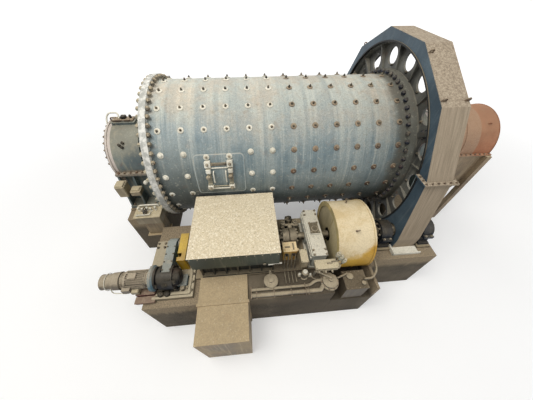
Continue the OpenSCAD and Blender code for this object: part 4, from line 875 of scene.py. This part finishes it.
def lug(width, height, thick, hole):
    """Lifting lug: a rounded plate with an eye, drawn upright in local x-z, thickness in y.

    Outer outline: half circle on a stem; the eye is a second ring joined to it by faces.
    """
    t = np.linspace(0, math.pi, 13)
    half, eye_z = width / 2, height - width / 2
    outer = np.concatenate([[[half, 0.0]], np.stack([half * np.cos(t), eye_z + half * np.sin(t)],
                                                    1), [[-half, 0.0]]])
    angle = np.arctan2(outer[:, 1] - eye_z, outer[:, 0])
    inner = np.stack([hole * np.cos(angle), eye_z + hole * np.sin(angle)], 1)
    flat = np.concatenate([outer, inner])
    verts = np.concatenate([np.insert(flat, 1, side, axis=1) for side in (-thick / 2, thick / 2)])
    faces, count = [], len(outer)
    back = 2 * count
    for j in range(count):
        k = (j + 1) % count
        faces += [[j, k, count + k, count + j],
                  [back + k, back + j, back + count + j, back + count + k],
                  [k, j, back + j, back + k],
                  [count + j, count + k, back + count + k, back + count + j]]
    return verts, faces


def upright(part, spot, out, along):
    """A part drawn with z up and x along, set on a spot with z out and x along a direction."""
    verts, faces = part
    out, along = np.array(out, float), np.array(along, float)
    out /= np.linalg.norm(out)
    along = along - out * (along @ out)
    along /= np.linalg.norm(along)
    return verts @ np.stack([along, np.cross(out, along), out], 1).T + spot, faces


beads = []
for x, inset in ((GUARD_X0, 0.006), (GUARD_X1, -0.006)):
    feet = [(x, y, JOINT_Z + 0.02) for y in (-FLAT_R, FLAT_R)]
    path = np.concatenate([feet[:1], ring(CORNERS, CORNER_R, x) - M, feet[1:]])
    beads.append(tube(M + path * [1, 0.9962, 0.9962] + [inset, 0, 0], 0.009, 6))
beads += [tube([on_drum(x, angle, CORNER_R * 0.9974)[0] for x in (GUARD_X0 + 0.01,
                                                                 GUARD_X1 - 0.01)], 0.006, 6)
          for angle in CORNERS]
piece("guard_weld_beads", "guard_paint", beads)
joint = [at(x, y, JOINT_Z + 0.016) for y in (-FLAT_R - 0.042, FLAT_R + 0.042)
         for x in np.linspace(GUARD_X0 - 0.04, GUARD_X1 + 0.04, 6)]
joint += [at(x, y, JOINT_Z + 0.016) for x in (GUARD_X0 - 0.042, GUARD_X1 + 0.042)
          for y in (-2.5, -2.39, 2.39, 2.5)]
stamp("guard_joint_nuts", PLATE_NUT, joint, UP, "rusty_bolt")
stamp("guard_joint_heads", lathe((0.021, 0, 0.021, 0.013, 0.017, 0.017), 6),
      np.array(joint) - [0, 0, 0.032], (0, 0, -1), "rusty_bolt")
near, far = GUARD_X0 + 0.05, GUARD_X1 - 0.05
lugs = []
for x, angle, panel in ((near, 47.5, 60.0), (far, 47.5, 60.0), (near, 70.0, 60.0),
                        (far, 110.0, 120.0), (near, 132.5, 120.0), (far, 132.5, 120.0)):
    spot = on_drum(x, angle, FLAT_R / math.cos(math.radians(angle - panel)) - 0.004)[0]
    lugs.append(upright(lug(0.09, 0.085, 0.018, 0.02), spot, on_drum(0, panel, 1)[1], (1, 0, 0)))
piece("guard_lugs", "rusty_bolt", lugs, smooth=False)

# ---------------------------------------------------------------- trunnion bearing fittings

BEARING_X0, BEARING_X1 = 3.383, 4.148
BEARING_MID = (BEARING_X0 + BEARING_X1) / 2
CAP_X = -BEARING_MID
bearing_nuts = []
for sign, face in ((-1, BEARING_X1 + 0.03), (1, BEARING_X1)):
    bearing_nuts += [(at(sign * x, y, -0.085), UP) for y in (-0.873, 0.873)
                     for x in np.linspace(BEARING_X0 + 0.09, BEARING_X1 - 0.09, 5)]
    bearing_nuts += [(at(sign * x, y, -1.12), UP) for y in (-1.015, 1.015)
                     for x in (BEARING_X0 + 0.1, BEARING_MID, BEARING_X1 - 0.1)]
    bearing_nuts += [(spot, (sign, 0, 0))
                     for spot in ring(np.linspace(12, 168, 14), 0.79, sign * face)]
stamp("bearing_nuts", SMALL_NUT, *zip(*bearing_nuts), "rusty_bolt")
piece("feed_hatch_parts", "rusty_bolt", [
    block(0.01, CAP_X + x - 0.105, -0.1, 0.894, CAP_X + x + 0.105, 0.1, 0.934)
    for x in (-0.14, 0.14)] + [
    pipe(0.016, 8, 0, (CAP_X - 0.2, -0.115, 0.95), (CAP_X + 0.2, -0.115, 0.95)),
    pipe(0.017, 8, 0.04, (CAP_X - 0.34, 0.06, 0.84), (CAP_X - 0.34, 0.06, 0.93),
         (CAP_X - 0.2, 0.06, 0.93))])
piece("feed_cap_sensors", "black_paint", [
    block(0.012, CAP_X - 0.05, -0.05, 0.934, CAP_X + 0.07, 0.07, 1.0),
    knob(12, (CAP_X + 0.17, 0.02, 0.934), UP, 0.03, 0, 0.03, 0.06, 0.02, 0.075)] + [
    turned(lathe((0.026, 0, 0.026, 0.03, 0.034, 0.034, 0.034, 0.052, 0.02, 0.06), 10),
           *on_drum(CAP_X + shift, angle, 0.832))
    for angle, shift in ((43.0, -0.05), (46.5, 0.03), (39.5, 0.01))])

# ---------------------------------------------------------------- discharge hood and chute


def ring_bar(major, minor, turns=20, sides=8):
    """Torus about local y: point = ((R + r cos b) cos a, r sin b, (R + r cos b) sin a)."""
    a, b = np.meshgrid(TAU * np.arange(turns) / turns, TAU * np.arange(sides) / sides,
                       indexing="ij")
    reach = major + minor * np.cos(b)
    verts = np.stack([reach * np.cos(a), minor * np.sin(b), reach * np.sin(a)], 2)
    return verts.reshape(-1, 3), skin(turns, sides, closed=True)


hood_low, hood_high = box("discharge_hood")
HX0, HX1 = hood_low[0], hood_high[0]
stamp("hood_flange_nuts", PLATE_NUT, [at(x, y, 0.0) for y in (-0.932, 0.932)
                                      for x in np.linspace(HX0 + 0.07, HX1 - 0.07, 13)],
      UP, "rusty_bolt")
piece("hood_lugs_and_seams", "hood_paint", [
    upright(lug(0.08, 0.08, 0.014, 0.018), *on_drum(x, angle, 0.88), (1, 0, 0))
    for x in (HX0 + 0.3, HX1 - 0.3) for angle in (52.0, 128.0)] + [
    tube(ring(np.linspace(0.5, 179.5, 60), 0.888, x), 0.008, 6)
    for x in (HX0 + 0.012, HX1 - 0.012)])
OUTLET_X = (HX0 + HX1) / 2
stamp("chute_flange_nuts", PLATE_NUT, [
    at(x, y, -1.66) for y in (-0.924, 0.924)
    for x in np.linspace(OUTLET_X - 0.465, OUTLET_X + 0.465, 7)[1:-1]], UP, "rusty_bolt")

# ---------------------------------------------------------------- pinion bearings and drive

block_bolts = []
for x0, x1 in ((2.304, 2.564), (3.35, 3.61)):
    block_bolts += [(at(x, y, P_Z + 0.034), UP) for x in (x0 + 0.06, x1 - 0.06)
                    for y in (P_Y - 0.292, P_Y + 0.292)]
    block_bolts += [(spot, (way, 0, 0)) for way, x in ((-1, x0 - 0.022), (1, x1 + 0.022))
                    for spot in ring(even(8, 22.5), 0.19, x, P_Y, P_Z)]
stamp("block_bolts", PLATE_NUT, *zip(*block_bolts), "grey_fitting")
coupling = [(spot, (way, 0, 0)) for x, way in ((-0.07, -1), (0.25, 1))
            for spot in ring(180 - even(10, 18), 0.165, x, P_Y, P_Z)]
stamp("coupling_nuts", SMALL_NUT, *zip(*coupling), "grey_fitting", "pinion_line")

# Drip tray under the gear mesh: a shallow pan with a raised rim, full of pale dust.
piece("drip_tray", "pale_bolt", [
    block(0.004, 2.62, -3.08, BED, 3.29, -2.89, BED + 0.026),
    block(0.006, 2.6, -3.1, BED, 3.31, -3.076, BED + 0.085),
    block(0.008, 2.6, -3.1, BED, 2.63, -2.84, BED + 0.12)], smooth=False)

# Clutch guard: two eye bolts, and the mesh plate that closes its inner end.


def eye_bolt(radius, bar):
    """Eye bolt drawn along z: collar, shank and ring."""
    eye, faces = ring_bar(radius, bar)
    wide, slim = bar * 2.2, bar * 1.2
    shank = lathe((wide, 0, wide, 0.016, slim, 0.022, slim, 0.036), 14)
    return merge([shank, (eye + [0, 0, radius + bar + 0.03], faces)])


drum_eyes = []
for x, y, z, along in ((1.436, 0.356, 0.713, (0, 1, 0)), (1.426, -0.402, 0.688, (1, 0.4, 0))):
    out = np.array([0.0, y, z]) / math.hypot(y, z)
    drum_eyes.append(upright(eye_bolt(0.036, 0.011), at(x, P_Y, P_Z) + out * 0.797, out, along))
piece("drum_eye_bolts", "rusty_bolt", drum_eyes)
piece("drum_end_plate", "mesh_plate", [
    knob(72, (1.048, P_Y, P_Z), (1, 0, 0), 0.17, 0, 0.778, 0, 0.778, 0.005, 0.17, 0.005,
         0.17, 0)] + [
    block(0.004, 1.03, P_Y - 0.02, P_Z + low, 1.05, P_Y + 0.02, P_Z + low + 0.57)
    for low in (0.19, -0.76)] + [
    turned(lathe((0.014, 0, 0.014, 0.008, 0.01, 0.011), 8), spot, (-1, 0, 0))
    for spot in ring(180 - even(12, 15), 0.72, 1.049, P_Y, P_Z)], smooth=False)

# ---------------------------------------------------------------- pedestal and boxes

TOP = box("shaft_pedestal")[1][2]
DIAL = (0.67, P_Y - 0.03, TOP + 0.011)
piece("instrument_plate", "motor_dark",
      [block(0.004, 0.556, P_Y - 0.15, TOP, 0.764, P_Y + 0.15, TOP + 0.012)], smooth=False)
piece("instrument_dial", "motor_dark", [
    knob(24, DIAL, None, 0.058, 0, 0.06, 0.02, 0.048, 0.026),
    knob(16, DIAL, None, 0.03, 0.02, 0.03, 0.034, 0.02, 0.038)])
piece("instrument_ring", "grey_fitting",
      [knob(28, DIAL, UP, 0.075, 0, 0.08, 0.008, 0.064, 0.014)])
stamp("pedestal_bolts", nut(0.04, 0.026, 0.012, 0.016, 0.028, 0.005), [
    at(x, y, -0.612) for x in (0.527, 0.793) for y in (-3.232, -3.12, -2.16, -2.04)] + [
    at(x, y, TOP + 0.012) for x in (0.572, 0.748) for y in (P_Y - 0.13, P_Y + 0.13)],
    UP, "grey_fitting")
piece("pedestal_side_parts", "pale_grey", [
    block(0.008, 0.452, y - 0.05, -0.86, 0.502, y + 0.05, -0.86 + high)
    for y, high in ((-3.18, 0.1), (-3.02, 0.16), (-2.42, 0.13), (-2.26, 0.13), (-2.1, 0.1))] + [
    block(0.006, 0.468, -3.25, -0.66, 0.502, -2.03, -0.632),
    block(0.006, 0.468, -3.25, -1.18, 0.502, -2.8, -1.15),
    pipe(0.014, 8, 0, (0.46, -3.2, -0.7), (0.46, -2.05, -0.7))], smooth=False)
piece("brush_box_slots", "dark_bolt", [
    block(0.004, -0.075, -3.04, -0.98, 0.015, -3.03, -0.85),
    block(0.004, 0.085, -3.04, -0.98, 0.175, -3.03, -0.85),
    block(0.003, -0.06, -2.93, -0.771, 0.06, -2.9, -0.758),
    block(0.003, 0.12, -2.985, -0.771, 0.15, -2.82, -0.758)], smooth=False)
piece("brush_box_knob", "orange_paint", [
    knob(14, (0.213, -2.95, -0.86), (1, 0, 0), 0.045, 0, 0.045, 0.03, 0.03, 0.05, 0.012, 0.055),
    knob(10, (-0.06, -2.98, -0.77), UP, 0.016, 0, 0.016, 0.03)])
stamp("box_lid_screws", lathe((0.011, 0, 0.011, 0.005, 0.008, 0.008), 10), [
    at(x, y, -0.672) for x in (0.248, 0.372) for y in (-3.337, -3.063)] + [
    at(x, y, -0.64) for x in (0.51, 0.97) for y in (-3.525, -3.36)], UP, "dark_bolt")
SEAM_OUT = 0.002
seams = []
for x0, x1, y0, y1, z in ((0.23, 0.39, -3.3548, -3.0448, -0.7),
                          (0.49, 0.99, -3.5448, -3.3398, -0.668)):
    x0, x1 = x0 - SEAM_OUT, x1 + SEAM_OUT
    seams += [pipe(0.004, 6, 0, *ends) for ends in (
        ((x0, y0 - SEAM_OUT, z), (x1, y0 - SEAM_OUT, z)), ((x1, y0, z), (x1, y1, z)),
        ((x0, y0, z), (x0, y1, z)))]
piece("box_lid_seams", "dark_bolt", seams, smooth=False)
TALL_GLANDS = ((0.93, -3.37, -0.47), (1.0, -3.4, -0.55), (1.08, -3.43, -0.65))
piece("tall_glands", "clamp_metal", [
    knob(12, place, (0.1, -0.1, 1), 0.03, 0, 0.036, 0.012, 0.036, 0.07, 0.046, 0.075, 0.046,
         0.13, 0.03, 0.145, 0.03, 0.18, 0.018, 0.19) for place in TALL_GLANDS])
piece("cable_glands", "grey_fitting", [
    knob(8, place, way, 0.024, 0, 0.024, 0.02, 0.018, 0.024, 0.018, 0.05, 0.012, 0.056)
    for place, way in [((0.99, y, -0.7), (1, 0, 0)) for y in (-3.36, -3.42, -3.48)]
    + [((x, -3.5448, -0.72), (0, -1, 0)) for x in (0.56, 0.7, 0.84)]])
piece("gland_conduits", "cable_sheath", [
    pipe(0.016, 8, 0.04, (x, y, z), (x, y, z - 0.08), (0.97 - 0.1 * k, y, -0.62),
         (0.95 - 0.1 * k, y, -0.66)) for k, (x, y, z) in enumerate(TALL_GLANDS)])

# ---------------------------------------------------------------- parts round the coupling

piece("lift_pump_motor", "black_paint", [
    knob(20, (0.12, -2.18, BASE), None, 0.085, 0, 0.085, 0.02, 0.07, 0.03, 0.07, 0.3, 0.082,
         0.31, 0.082, 0.36, 0.06, 0.385)] + [
    block(0.002, x - 0.004, -2.262, BASE + 0.04, x + 0.004, -2.098, BASE + 0.29)
    for x in (0.06, 0.084, 0.108, 0.132, 0.156, 0.18)] + [
    block(0.02, 0.04, -2.26, BASE + 0.385, 0.2, -2.11, BASE + 0.54),
    knob(14, (0.12, -2.185, BASE + 0.538), UP, 0.05, 0, 0.05, 0.03, 0.03, 0.05)], smooth=False)
piece("coupling_bracket", "grey_fitting", [
    block(0.014, -0.07, -2.33, BASE, 0.02, -2.2, BASE + 0.36),
    block(0.014, 0.23, -2.335, BASE, 0.35, -2.19, BASE + 0.42),
    block(0.012, -0.06, -2.31, BASE + 0.35, 0.35, -2.225, BASE + 0.4),
    knob(16, (-0.02, -2.262, BASE + 0.395), UP, 0.055, 0, 0.055, 0.06, 0.035, 0.075, 0.035, 0.13),
    knob(16, (0.29, -2.262, BASE + 0.415), UP, 0.05, 0, 0.05, 0.05, 0.032, 0.06, 0.032, 0.11),
    knob(16, (0.14, -2.305, BASE + 0.372), (0, -1, 0.3), 0.045, 0, 0.052, 0.01, 0.052, 0.07,
         0.03, 0.09)])
piece("bracket_pipes", "dark_bolt", [
    pipe(0.012, 8, 0.05, (-0.02, -2.262, BASE + 0.5), (-0.02, -2.262, BASE + 0.57),
         (0.06, -2.24, BASE + 0.57), (0.07, -2.2, BASE + 0.48)),
    pipe(0.012, 8, 0.05, (0.29, -2.262, BASE + 0.5), (0.29, -2.262, BASE + 0.56),
         (0.19, -2.235, BASE + 0.56), (0.18, -2.2, BASE + 0.48)),
    pipe(0.016, 8, 0.05, (0.33, -2.2, BASE + 0.2), (0.42, -2.15, BASE + 0.2),
         (0.42, -2.12, BASE + 0.02))])

# ---------------------------------------------------------------- motor hood fittings

HOOD_FRONT, HOOD_END, SCREW_Z = -3.3608, -0.24, -0.2
piece("hood_lamp", "pale_bolt", [
    knob(16, (-0.485, -3.33, -0.66), (1, 0, 0), 0.024, 0, 0.03, 0.006, 0.03, 0.1, 0.022, 0.106,
         0.022, 0.14),
    knob(12, (-0.35, -3.33, -0.66), (1, 0, 0), 0.016, 0, 0.016, 0.16)])
piece("hood_fasteners", "grey_fitting", [
    knob(16, (-0.56, HOOD_FRONT, -0.585), (0, -1, 0), 0.03, 0, 0.034, 0.006, 0.03, 0.014, 0.014,
         0.018)] + [
    knob(8, place, way, 0.012, 0, 0.012, 0.006, 0.008, 0.01) for place, way in
    [((x, HOOD_FRONT, SCREW_Z), (0, -1, 0)) for x in np.linspace(-1.99, -0.29, 12)]
    + [((HOOD_END, y, SCREW_Z), (1, 0, 0)) for y in np.linspace(-3.3, -1.83, 10)]])

# ---------------------------------------------------------------- oil parts on the drive pier

FILTER = (0.88, -3.607)
piece("oil_filter_lids", "grey_fitting", [
    knob(36, (*FILTER, BED), None, 0.19, 0, 0.2, 0.012, 0.2, 0.05, 0.185, 0.062, 0.17, 0.062,
         0.165, 0.12, 0.12, 0.145, 0.05, 0.15, 0.05, 0.2, 0.03, 0.206),
    knob(32, (-0.43, -3.5, BED), None, 0.15, 0, 0.16, 0.01, 0.16, 0.11, 0.14, 0.13, 0.06, 0.14,
         0.06, 0.17, 0.04, 0.175)])
stamp("oil_lid_nuts", PLATE_NUT, [
    at(FILTER[0] + 0.178 * math.cos(a), FILTER[1] + 0.178 * math.sin(a), BED + 0.062)
    for a in TAU * np.arange(10) / 10], UP, "rusty_bolt")
MAIN, RETURN = (-3.772, 0.048), (-3.65, 0.04)
piece("oil_pipes", "grey_fitting", [
    pipe(radius, sides, rounds, *[(x, y, BED + z) for x, y, z in path])
    for radius, sides, rounds, *path in (
        (0.044, 16, 0.08, (-0.88, *MAIN), (0.6, *MAIN), (0.64, *MAIN), (0.7, -3.69, MAIN[1])),
        (0.034, 14, 0.1, (-0.88, *RETURN), (0.43, *RETURN), (0.56, -3.56, RETURN[1]),
         (0.7, -3.56, RETURN[1])),
        (0.03, 12, 0.08, (-0.43, -3.34, 0.09), (-0.43, -3.25, 0.09), (-0.43, -3.25, -0.005)),
        (0.024, 12, 0.09, (0.88, -3.607, 0.2), (0.88, -3.607, 0.26), (0.7, -3.5, 0.26),
         (0.56, -3.43, 0.26), (0.56, -3.43, 0)),
        (0.02, 12, 0.07, (1.06, -3.56, 0.09), (1.18, -3.52, 0.09), (1.32, -3.47, 0.09),
         (1.32, -3.47, 0.05)),
        (0.026, 12, 0.12, (1.66, -3.64, 0.055), (1.66, -3.64, 0.13), (1.83, -3.64, 0.13),
         (2.01, -3.47, 0.13), (2.06, -3.16, 0.13), (2.06, -3.12, -0.005)))])
over = 180 - np.degrees(np.linspace(-0.2, math.pi + 0.2, 16))
saddles = []
for x in (-0.76, -0.38, 0, 0.38):
    saddles.append(block(0.004, x - 0.018, -3.828, BED - 0.002, x + 0.018, -3.6, BED + 0.012))
    saddles += [tube(ring(over, r, x, y, BED + z), 0.007, 6)
                for (y, z), r in ((MAIN, 0.047), (RETURN, 0.037))]
saddles += [knob(20, (x, y, BED + z), (1, 0, 0), r, 0, r, 0.018) for x in (-0.88, 0.3)
            for (y, z), r in ((MAIN, 0.075), (RETURN, 0.06))]
piece("pipe_saddles", "rusty_bolt", saddles, smooth=False)

# Small drain pump with its valve block, and rigid conduits up to the brush box.
piece("drain_pump", "grey_fitting", [
    knob(20, (0.33, -3.44, BED), None, 0.075, 0, 0.085, 0.012, 0.085, 0.04, 0.062, 0.05, 0.062,
         0.2, 0.07, 0.205, 0.07, 0.26, 0.045, 0.285, 0.02, 0.29),
    block(0.01, 0.18, -3.47, BED, 0.262, -3.39, BED + 0.12),
    block(0.01, 0.41, -3.48, BED, 0.52, -3.4, BED + 0.08)])
piece("drain_pump_caps", "pale_bolt", [
    knob(16, (0.33, -3.44, BED + 0.288), UP, 0.05, 0, 0.05, 0.02, 0.03, 0.03),
    knob(12, (0.221, -3.43, BED + 0.118), UP, 0.03, 0, 0.03, 0.05, 0.02, 0.06),
    knob(12, (0.465, -3.44, BED + 0.078), UP, 0.026, 0, 0.026, 0.06, 0.016, 0.07)])
piece("drive_conduits", "dark_bolt", [
    pipe(0.014, 8, 0.07, (x, -3.03, -0.9), (x - 0.012, -3.1, -0.96), (x - 0.03, -3.19, -1.1),
         (x - 0.03, -3.26, BED + 0.026), (x - 0.03, -3.56, BED + 0.026))
    for x in (-0.06, 0.02, 0.1, 0.18)] + [
    pipe(0.018, 10, 0, (0.262, -3.43, BED + 0.07), (0.3, -3.43, BED + 0.07)),
    pipe(0.018, 10, 0, (0.39, -3.44, BED + 0.05), (0.43, -3.44, BED + 0.05)),
    pipe(0.018, 10, 0.03, (0.5, -3.48, BED + 0.04), (0.56, -3.52, BED + 0.04),
         (0.7, -3.56, BED + 0.04))])

(TX0, TY0, _), (TX1, TY1, TZ) = box("lube_tank")
stamp("tank_lid_screws", lathe((0.012, 0, 0.012, 0.007, 0.009, 0.01), 8), [
    at(x, y, TZ) for x in np.linspace(TX0 + 0.03, TX1 - 0.03, 6)
    for y in (TY0 + 0.025, TY1 - 0.025)], UP, "rusty_bolt")
piece("tank_filler", "grey_fitting", [
    knob(20, (TX0 + 0.16, TY1 - 0.13, TZ), UP, 0.07, 0, 0.075, 0.01, 0.075, 0.03, 0.05, 0.04),
    knob(16, (TX1 - 0.12, TY0 + 0.1, TZ), UP, 0.03, 0, 0.03, 0.05, 0.045, 0.055, 0.045, 0.08)])

# ---------------------------------------------------------------- inching drive fittings

IY = -3.3318
stamp("adapter_bolts", nut(0.034, 0.02, 0.01, 0.01),
      ring(180 - even(16), 0.243, -2.92, IY, P_Z), (-1, 0, 0), "grey_fitting")
rings = [knob(32, (x, IY, P_Z), (1, 0, 0), r - 0.02, 0, r, 0.005, r, w - 0.005, r - 0.02, w)
         for x, r, w in ((-3.925, 0.158, 0.03), (-3.72, 0.166, 0.05), (-3.55, 0.186, 0.028),
                         (-3.44, 0.19, 0.05), (-3.02, 0.19, 0.03))]
rings += [turned(lathe(plain(0.016, 0.0, 0.24), 8), spot, (1, 0, 0))
          for spot in ring(180 - even(8, 22.5), 0.178, -3.44, IY, P_Z)]
rings += [block(0.01, -3.35, -3.4, -0.74, -3.18, -3.27, -0.69),
          knob(20, (-3.93, IY, P_Z), (-1, 0, 0), 0.06, 0, 0.06, 0.012, 0.05, 0.018)]
rings += [tube([spot, spot + [0.355, 0, 0]], 0.008, 6)
          for spot in ring(180 - even(26), 0.186, -3.385, IY, P_Z)]
piece("inching_motor_rings", "inching_metal", rings)
piece("inching_motor_bands", "pale_bolt", [
    tube(ring(180 - np.linspace(0, 360, 37), 0.171, x, IY, P_Z), 0.007, 6)
    for x in (-3.8, -3.66, -3.6)] + [
    pipe(0.011, 8, 0.05, (-3.7, -3.5, -0.88), (-3.7, -3.54, -1.01), (-3.42, -3.56, -1.04),
         (-3.3, -3.54, -1.0))])
piece("inching_terminal_box", "beige_box",
      [block(0.014, -3.33, -3.59, -1.06, -3.17, -3.45, -0.94)], smooth=False)
piece("gear_case_fittings", "black_paint", [
    knob(6, place, way, 0.055, 0, 0.055, 0.02, 0.035, 0.03) for place, way in (
        ((-2.78, -3.54, -0.83), (0, -1, 0.3)), ((-2.6, -3.56, -0.79), (0, -1, 0.5)),
        ((-2.42, -3.5, -0.76), (0, -1, 0.6)), ((-2.37, -3.332, -0.902), (1, 0, 0)))] + [
    block(0.012, -2.6, -3.5, -0.74, -2.47, -3.42, -0.69)] + [
    knob(20, (x, -3.6, BASE), UP, 0.05, 0, 0.062, 0.008, 0.062, 0.11, 0.04, 0.125, 0.02, 0.13)
    for x in (-2.77, -2.64)])
piece("base_valves", "grey_fitting", [
    knob(20, (-2.34, -3.5, BASE), UP, 0.05, 0, 0.05, 0.09, 0.04, 0.1, 0.04, 0.105),
    knob(14, (-2.25, -3.48, BASE), UP, 0.03, 0, 0.03, 0.06, 0.02, 0.07)])
piece("reducer_bracket", "light_blue", [
    block(0.006, -2.45, -3.47, -1.1, -2.25, -3.215, -1.075),
    block(0.004, -2.44, -3.46, BASE, -2.415, -3.225, -1.098),
    block(0.004, -2.285, -3.46, BASE, -2.26, -3.225, -1.098)], smooth=False)
piece("maroon_stand", "maroon_paint", [
    block(0.01, -3.29, -3.592, BASE, -2.89, -3.45, BASE + 0.09),
    block(0.008, -3.29, -3.745, BASE, -2.88, -3.6, BASE + 0.036),
    block(0.006, -3.278, -3.735, BASE - 0.06, -3.152, -3.47, BASE + 0.002)], smooth=False)
stamp("inching_base_nuts", SMALL_NUT, [
    at(x, y, BASE + z) for xs, ys, z in (
        ((-3.11, -2.95, -2.52, -2.29), (-2.33, -2.44), 0), ((-3.11, -2.96), (-3.55,), 0),
        ((-2.73, -2.49), (-3.512, -3.15), 0.04), ((-2.142,), (-3.56, -3.38, -3.2), 0.05))
    for x in xs for y in ys], UP, "dark_bolt")
stamp("arm_bolts", nut(0.03, 0.018, 0.009, 0.008), [
    at(x, y, -0.702) for x in (-2.672, -2.518) for y in (-3.26, -3.08, -2.9, -2.72)],
    UP, "dark_bolt")

# ---------------------------------------------------------------- feed bearing side boxes

FY = box("feed_pier")[0][1]
LID_Z = -0.69
piece("bearing_side_boxes", "beige_box", [
    block(0.012, -3.66, FY - 0.38, -1.0, -3.07, FY + 0.01, LID_Z - 0.035),
    block(0.012, -3.69, FY - 0.41, LID_Z - 0.04, -3.04, FY + 0.03, LID_Z),
    block(0.012, -3.88, -1.17, -0.62, -3.63, -0.93, -0.47),
    block(0.01, -3.86, -1.13, -0.472, -3.65, -1.0, -0.44),
    block(0.02, -4.14, -1.23, -0.59, -3.91, -0.95, -0.23),
    block(0.01, -4.125, -1.215, -0.235, -3.925, -1.0, -0.2)], smooth=False)
piece("side_box_stand", "duct_paint", [
    block(0.012, -3.61, FY - 0.3, -1.55, -3.12, FY + 0.002, -0.995),
    block(0.008, -3.66, FY - 0.36, -1.58, -3.07, FY + 0.001, -1.545)], smooth=False)
piece("side_box_valves", "pale_bolt", [
    pipe(0.024, 10, 0.04, *[(x, FY - 0.06, LID_Z + z) for x, z in (
        (-3.6, 0), (-3.6, 0.07), (-3.14, 0.07), (-3.14, 0))])] + [
    knob(12, (-3.58 + 0.1 * k, FY - 0.17 - 0.03 * (k % 2), LID_Z), UP, 0.034, 0, 0.034, 0.02,
         0.022, 0.03, 0.022, 0.085, 0.03, 0.09, 0.03, 0.11, 0.012, 0.118) for k in range(5)] + [
    pipe(0.015, 8, 0.03, *[(x, FY + y, LID_Z + z) for x, y, z in (
        (-3.6, -0.36, 0), (-3.6, -0.36, 0.05), (-3.28, -0.36, 0.05), (-3.28, -0.28, 0.05),
        (-3.28, -0.28, 0))]),
    knob(16, (-3.403, -0.99, -0.24), (0, -1, 0), 0.024, 0, 0.024, 0.05, 0.05, 0.06, 0.058, 0.1,
         0.035, 0.14, 0.01, 0.15)])
WHEEL_X, WHEEL_Y = -3.4, FY - 0.27
piece("side_box_handwheel", "blue_bolt", [
    turned(ring_bar(0.085, 0.012, 24, 8), at(WHEEL_X, WHEEL_Y, LID_Z + 0.09), (0, 1, 0.001)),
    knob(12, (WHEEL_X, WHEEL_Y, LID_Z), UP, 0.028, 0, 0.028, 0.06, 0.018, 0.07, 0.018, 0.11)] + [
    block(0.003, WHEEL_X - dx, WHEEL_Y - dy, LID_Z + 0.084, WHEEL_X + dx, WHEEL_Y + dy,
          LID_Z + 0.098) for dx, dy in ((0.085, 0.01), (0.01, 0.085))])
piece("bearing_conduit", "pale_bolt", [
    pipe(0.018, 10, 0.06, (-3.86, 0.0, 0.93), (-3.9, 0.1, 1.03), (-4.1, 0.12, 1.03),
         (-4.19, 0.09, 0.95), (-4.19, -0.04, 0.82), (-4.14, -0.084, 0.715))])

# ---------------------------------------------------------------- stage, light, camera


def placed(name, data, right, up, back, spot):
    """An object at a spot, with its local x, y and z along the three directions."""
    item = bpy.data.objects.new(name, data)
    bpy.context.scene.collection.objects.link(item)
    pose = np.eye(4)
    pose[:3] = np.stack([right, up, back, spot], 1)
    item.matrix_world = Matrix(pose.tolist())
    return item


RIGHT = np.array([0.99609, -0.08798, 0.00794])
DOWN = np.array([-0.06071, -0.74717, -0.66186])
FORWARD = np.array([0.06416, 0.65879, -0.74959])
EYE = M + SHELL_R * np.array([-0.429, -3.144, 2.152])
FOCAL_PX, PHOTO_W, SENSOR = 218.7, 533.0, 36.0
camera_data = bpy.data.cameras.new("camera")
camera_data.sensor_width = SENSOR
camera_data.lens = SENSOR * FOCAL_PX / PHOTO_W
camera_data.clip_end = 300.0
bpy.context.scene.camera = placed("camera", camera_data, RIGHT, -DOWN, -FORWARD, EYE)

FLOOR_REACH, FLOOR_Z = 60.0, -0.002
floor_data = bpy.data.meshes.new("floor")
floor_data.from_pydata([(x * FLOOR_REACH, y * FLOOR_REACH, FLOOR_Z) for x, y in (
    (-1, -1), (1, -1), (1, 1), (-1, 1))], [], [(0, 1, 2, 3)])
floor = bpy.data.objects.new("floor", floor_data)
bpy.context.scene.collection.objects.link(floor)
floor_look = bpy.data.materials.new("floor_look")
floor_look.use_nodes = True
n = Nodes(floor_look.node_tree)
far_off = n.ease(n.vector("LENGTH", n.add("TexCoord").outputs["Object"]), 6.0, 22.0, 0.26, 0.8)
n.named(next(x for x in n.tree.nodes if x.type == "BSDF_PRINCIPLED"), **{
    "Base Color": (0.8, 0.795, 0.78, 1.0), "Roughness": 0.95,
    "Emission Color": (1.0, 1.0, 1.0, 1.0), "Emission Strength": n.times(far_off, n.seen())})
floor_data.materials.append(floor_look)


def area_light(name, offset, size, power, colour):
    """A square area light, offset from the mill's middle and turned to it."""
    data = bpy.data.lights.new(name, "AREA")
    data.size, data.energy, data.color = size, power, colour
    z = np.array(offset) / np.linalg.norm(offset)
    x = np.cross([0.0, 0.0, 1.0], z)
    x /= np.linalg.norm(x)
    placed(name, data, x, np.cross(z, x), z, M + offset)


area_light("key", (-4.0, -4.5, 10.0), 6.0, 900.0, (1.0, 0.98, 0.94))
area_light("fill", (9.0, -6.0, 6.0), 8.0, 300.0, (0.97, 0.98, 1.0))
area_light("back", (0.0, 9.0, 8.0), 8.0, 500.0, (1.0, 0.98, 0.95))
world = bpy.data.worlds.new("studio")
world.use_nodes = True
n = Nodes(world.node_tree)
background = next(x for x in world.node_tree.nodes if x.type == "BACKGROUND")
n.feed(background, (0.97, 0.98, 1.0, 1.0), n.ease(n.seen(), 0.0, 1.0, WORLD_LEVEL, 1.0))
bpy.context.scene.world = world
bpy.context.scene.view_settings.view_transform = "Standard"
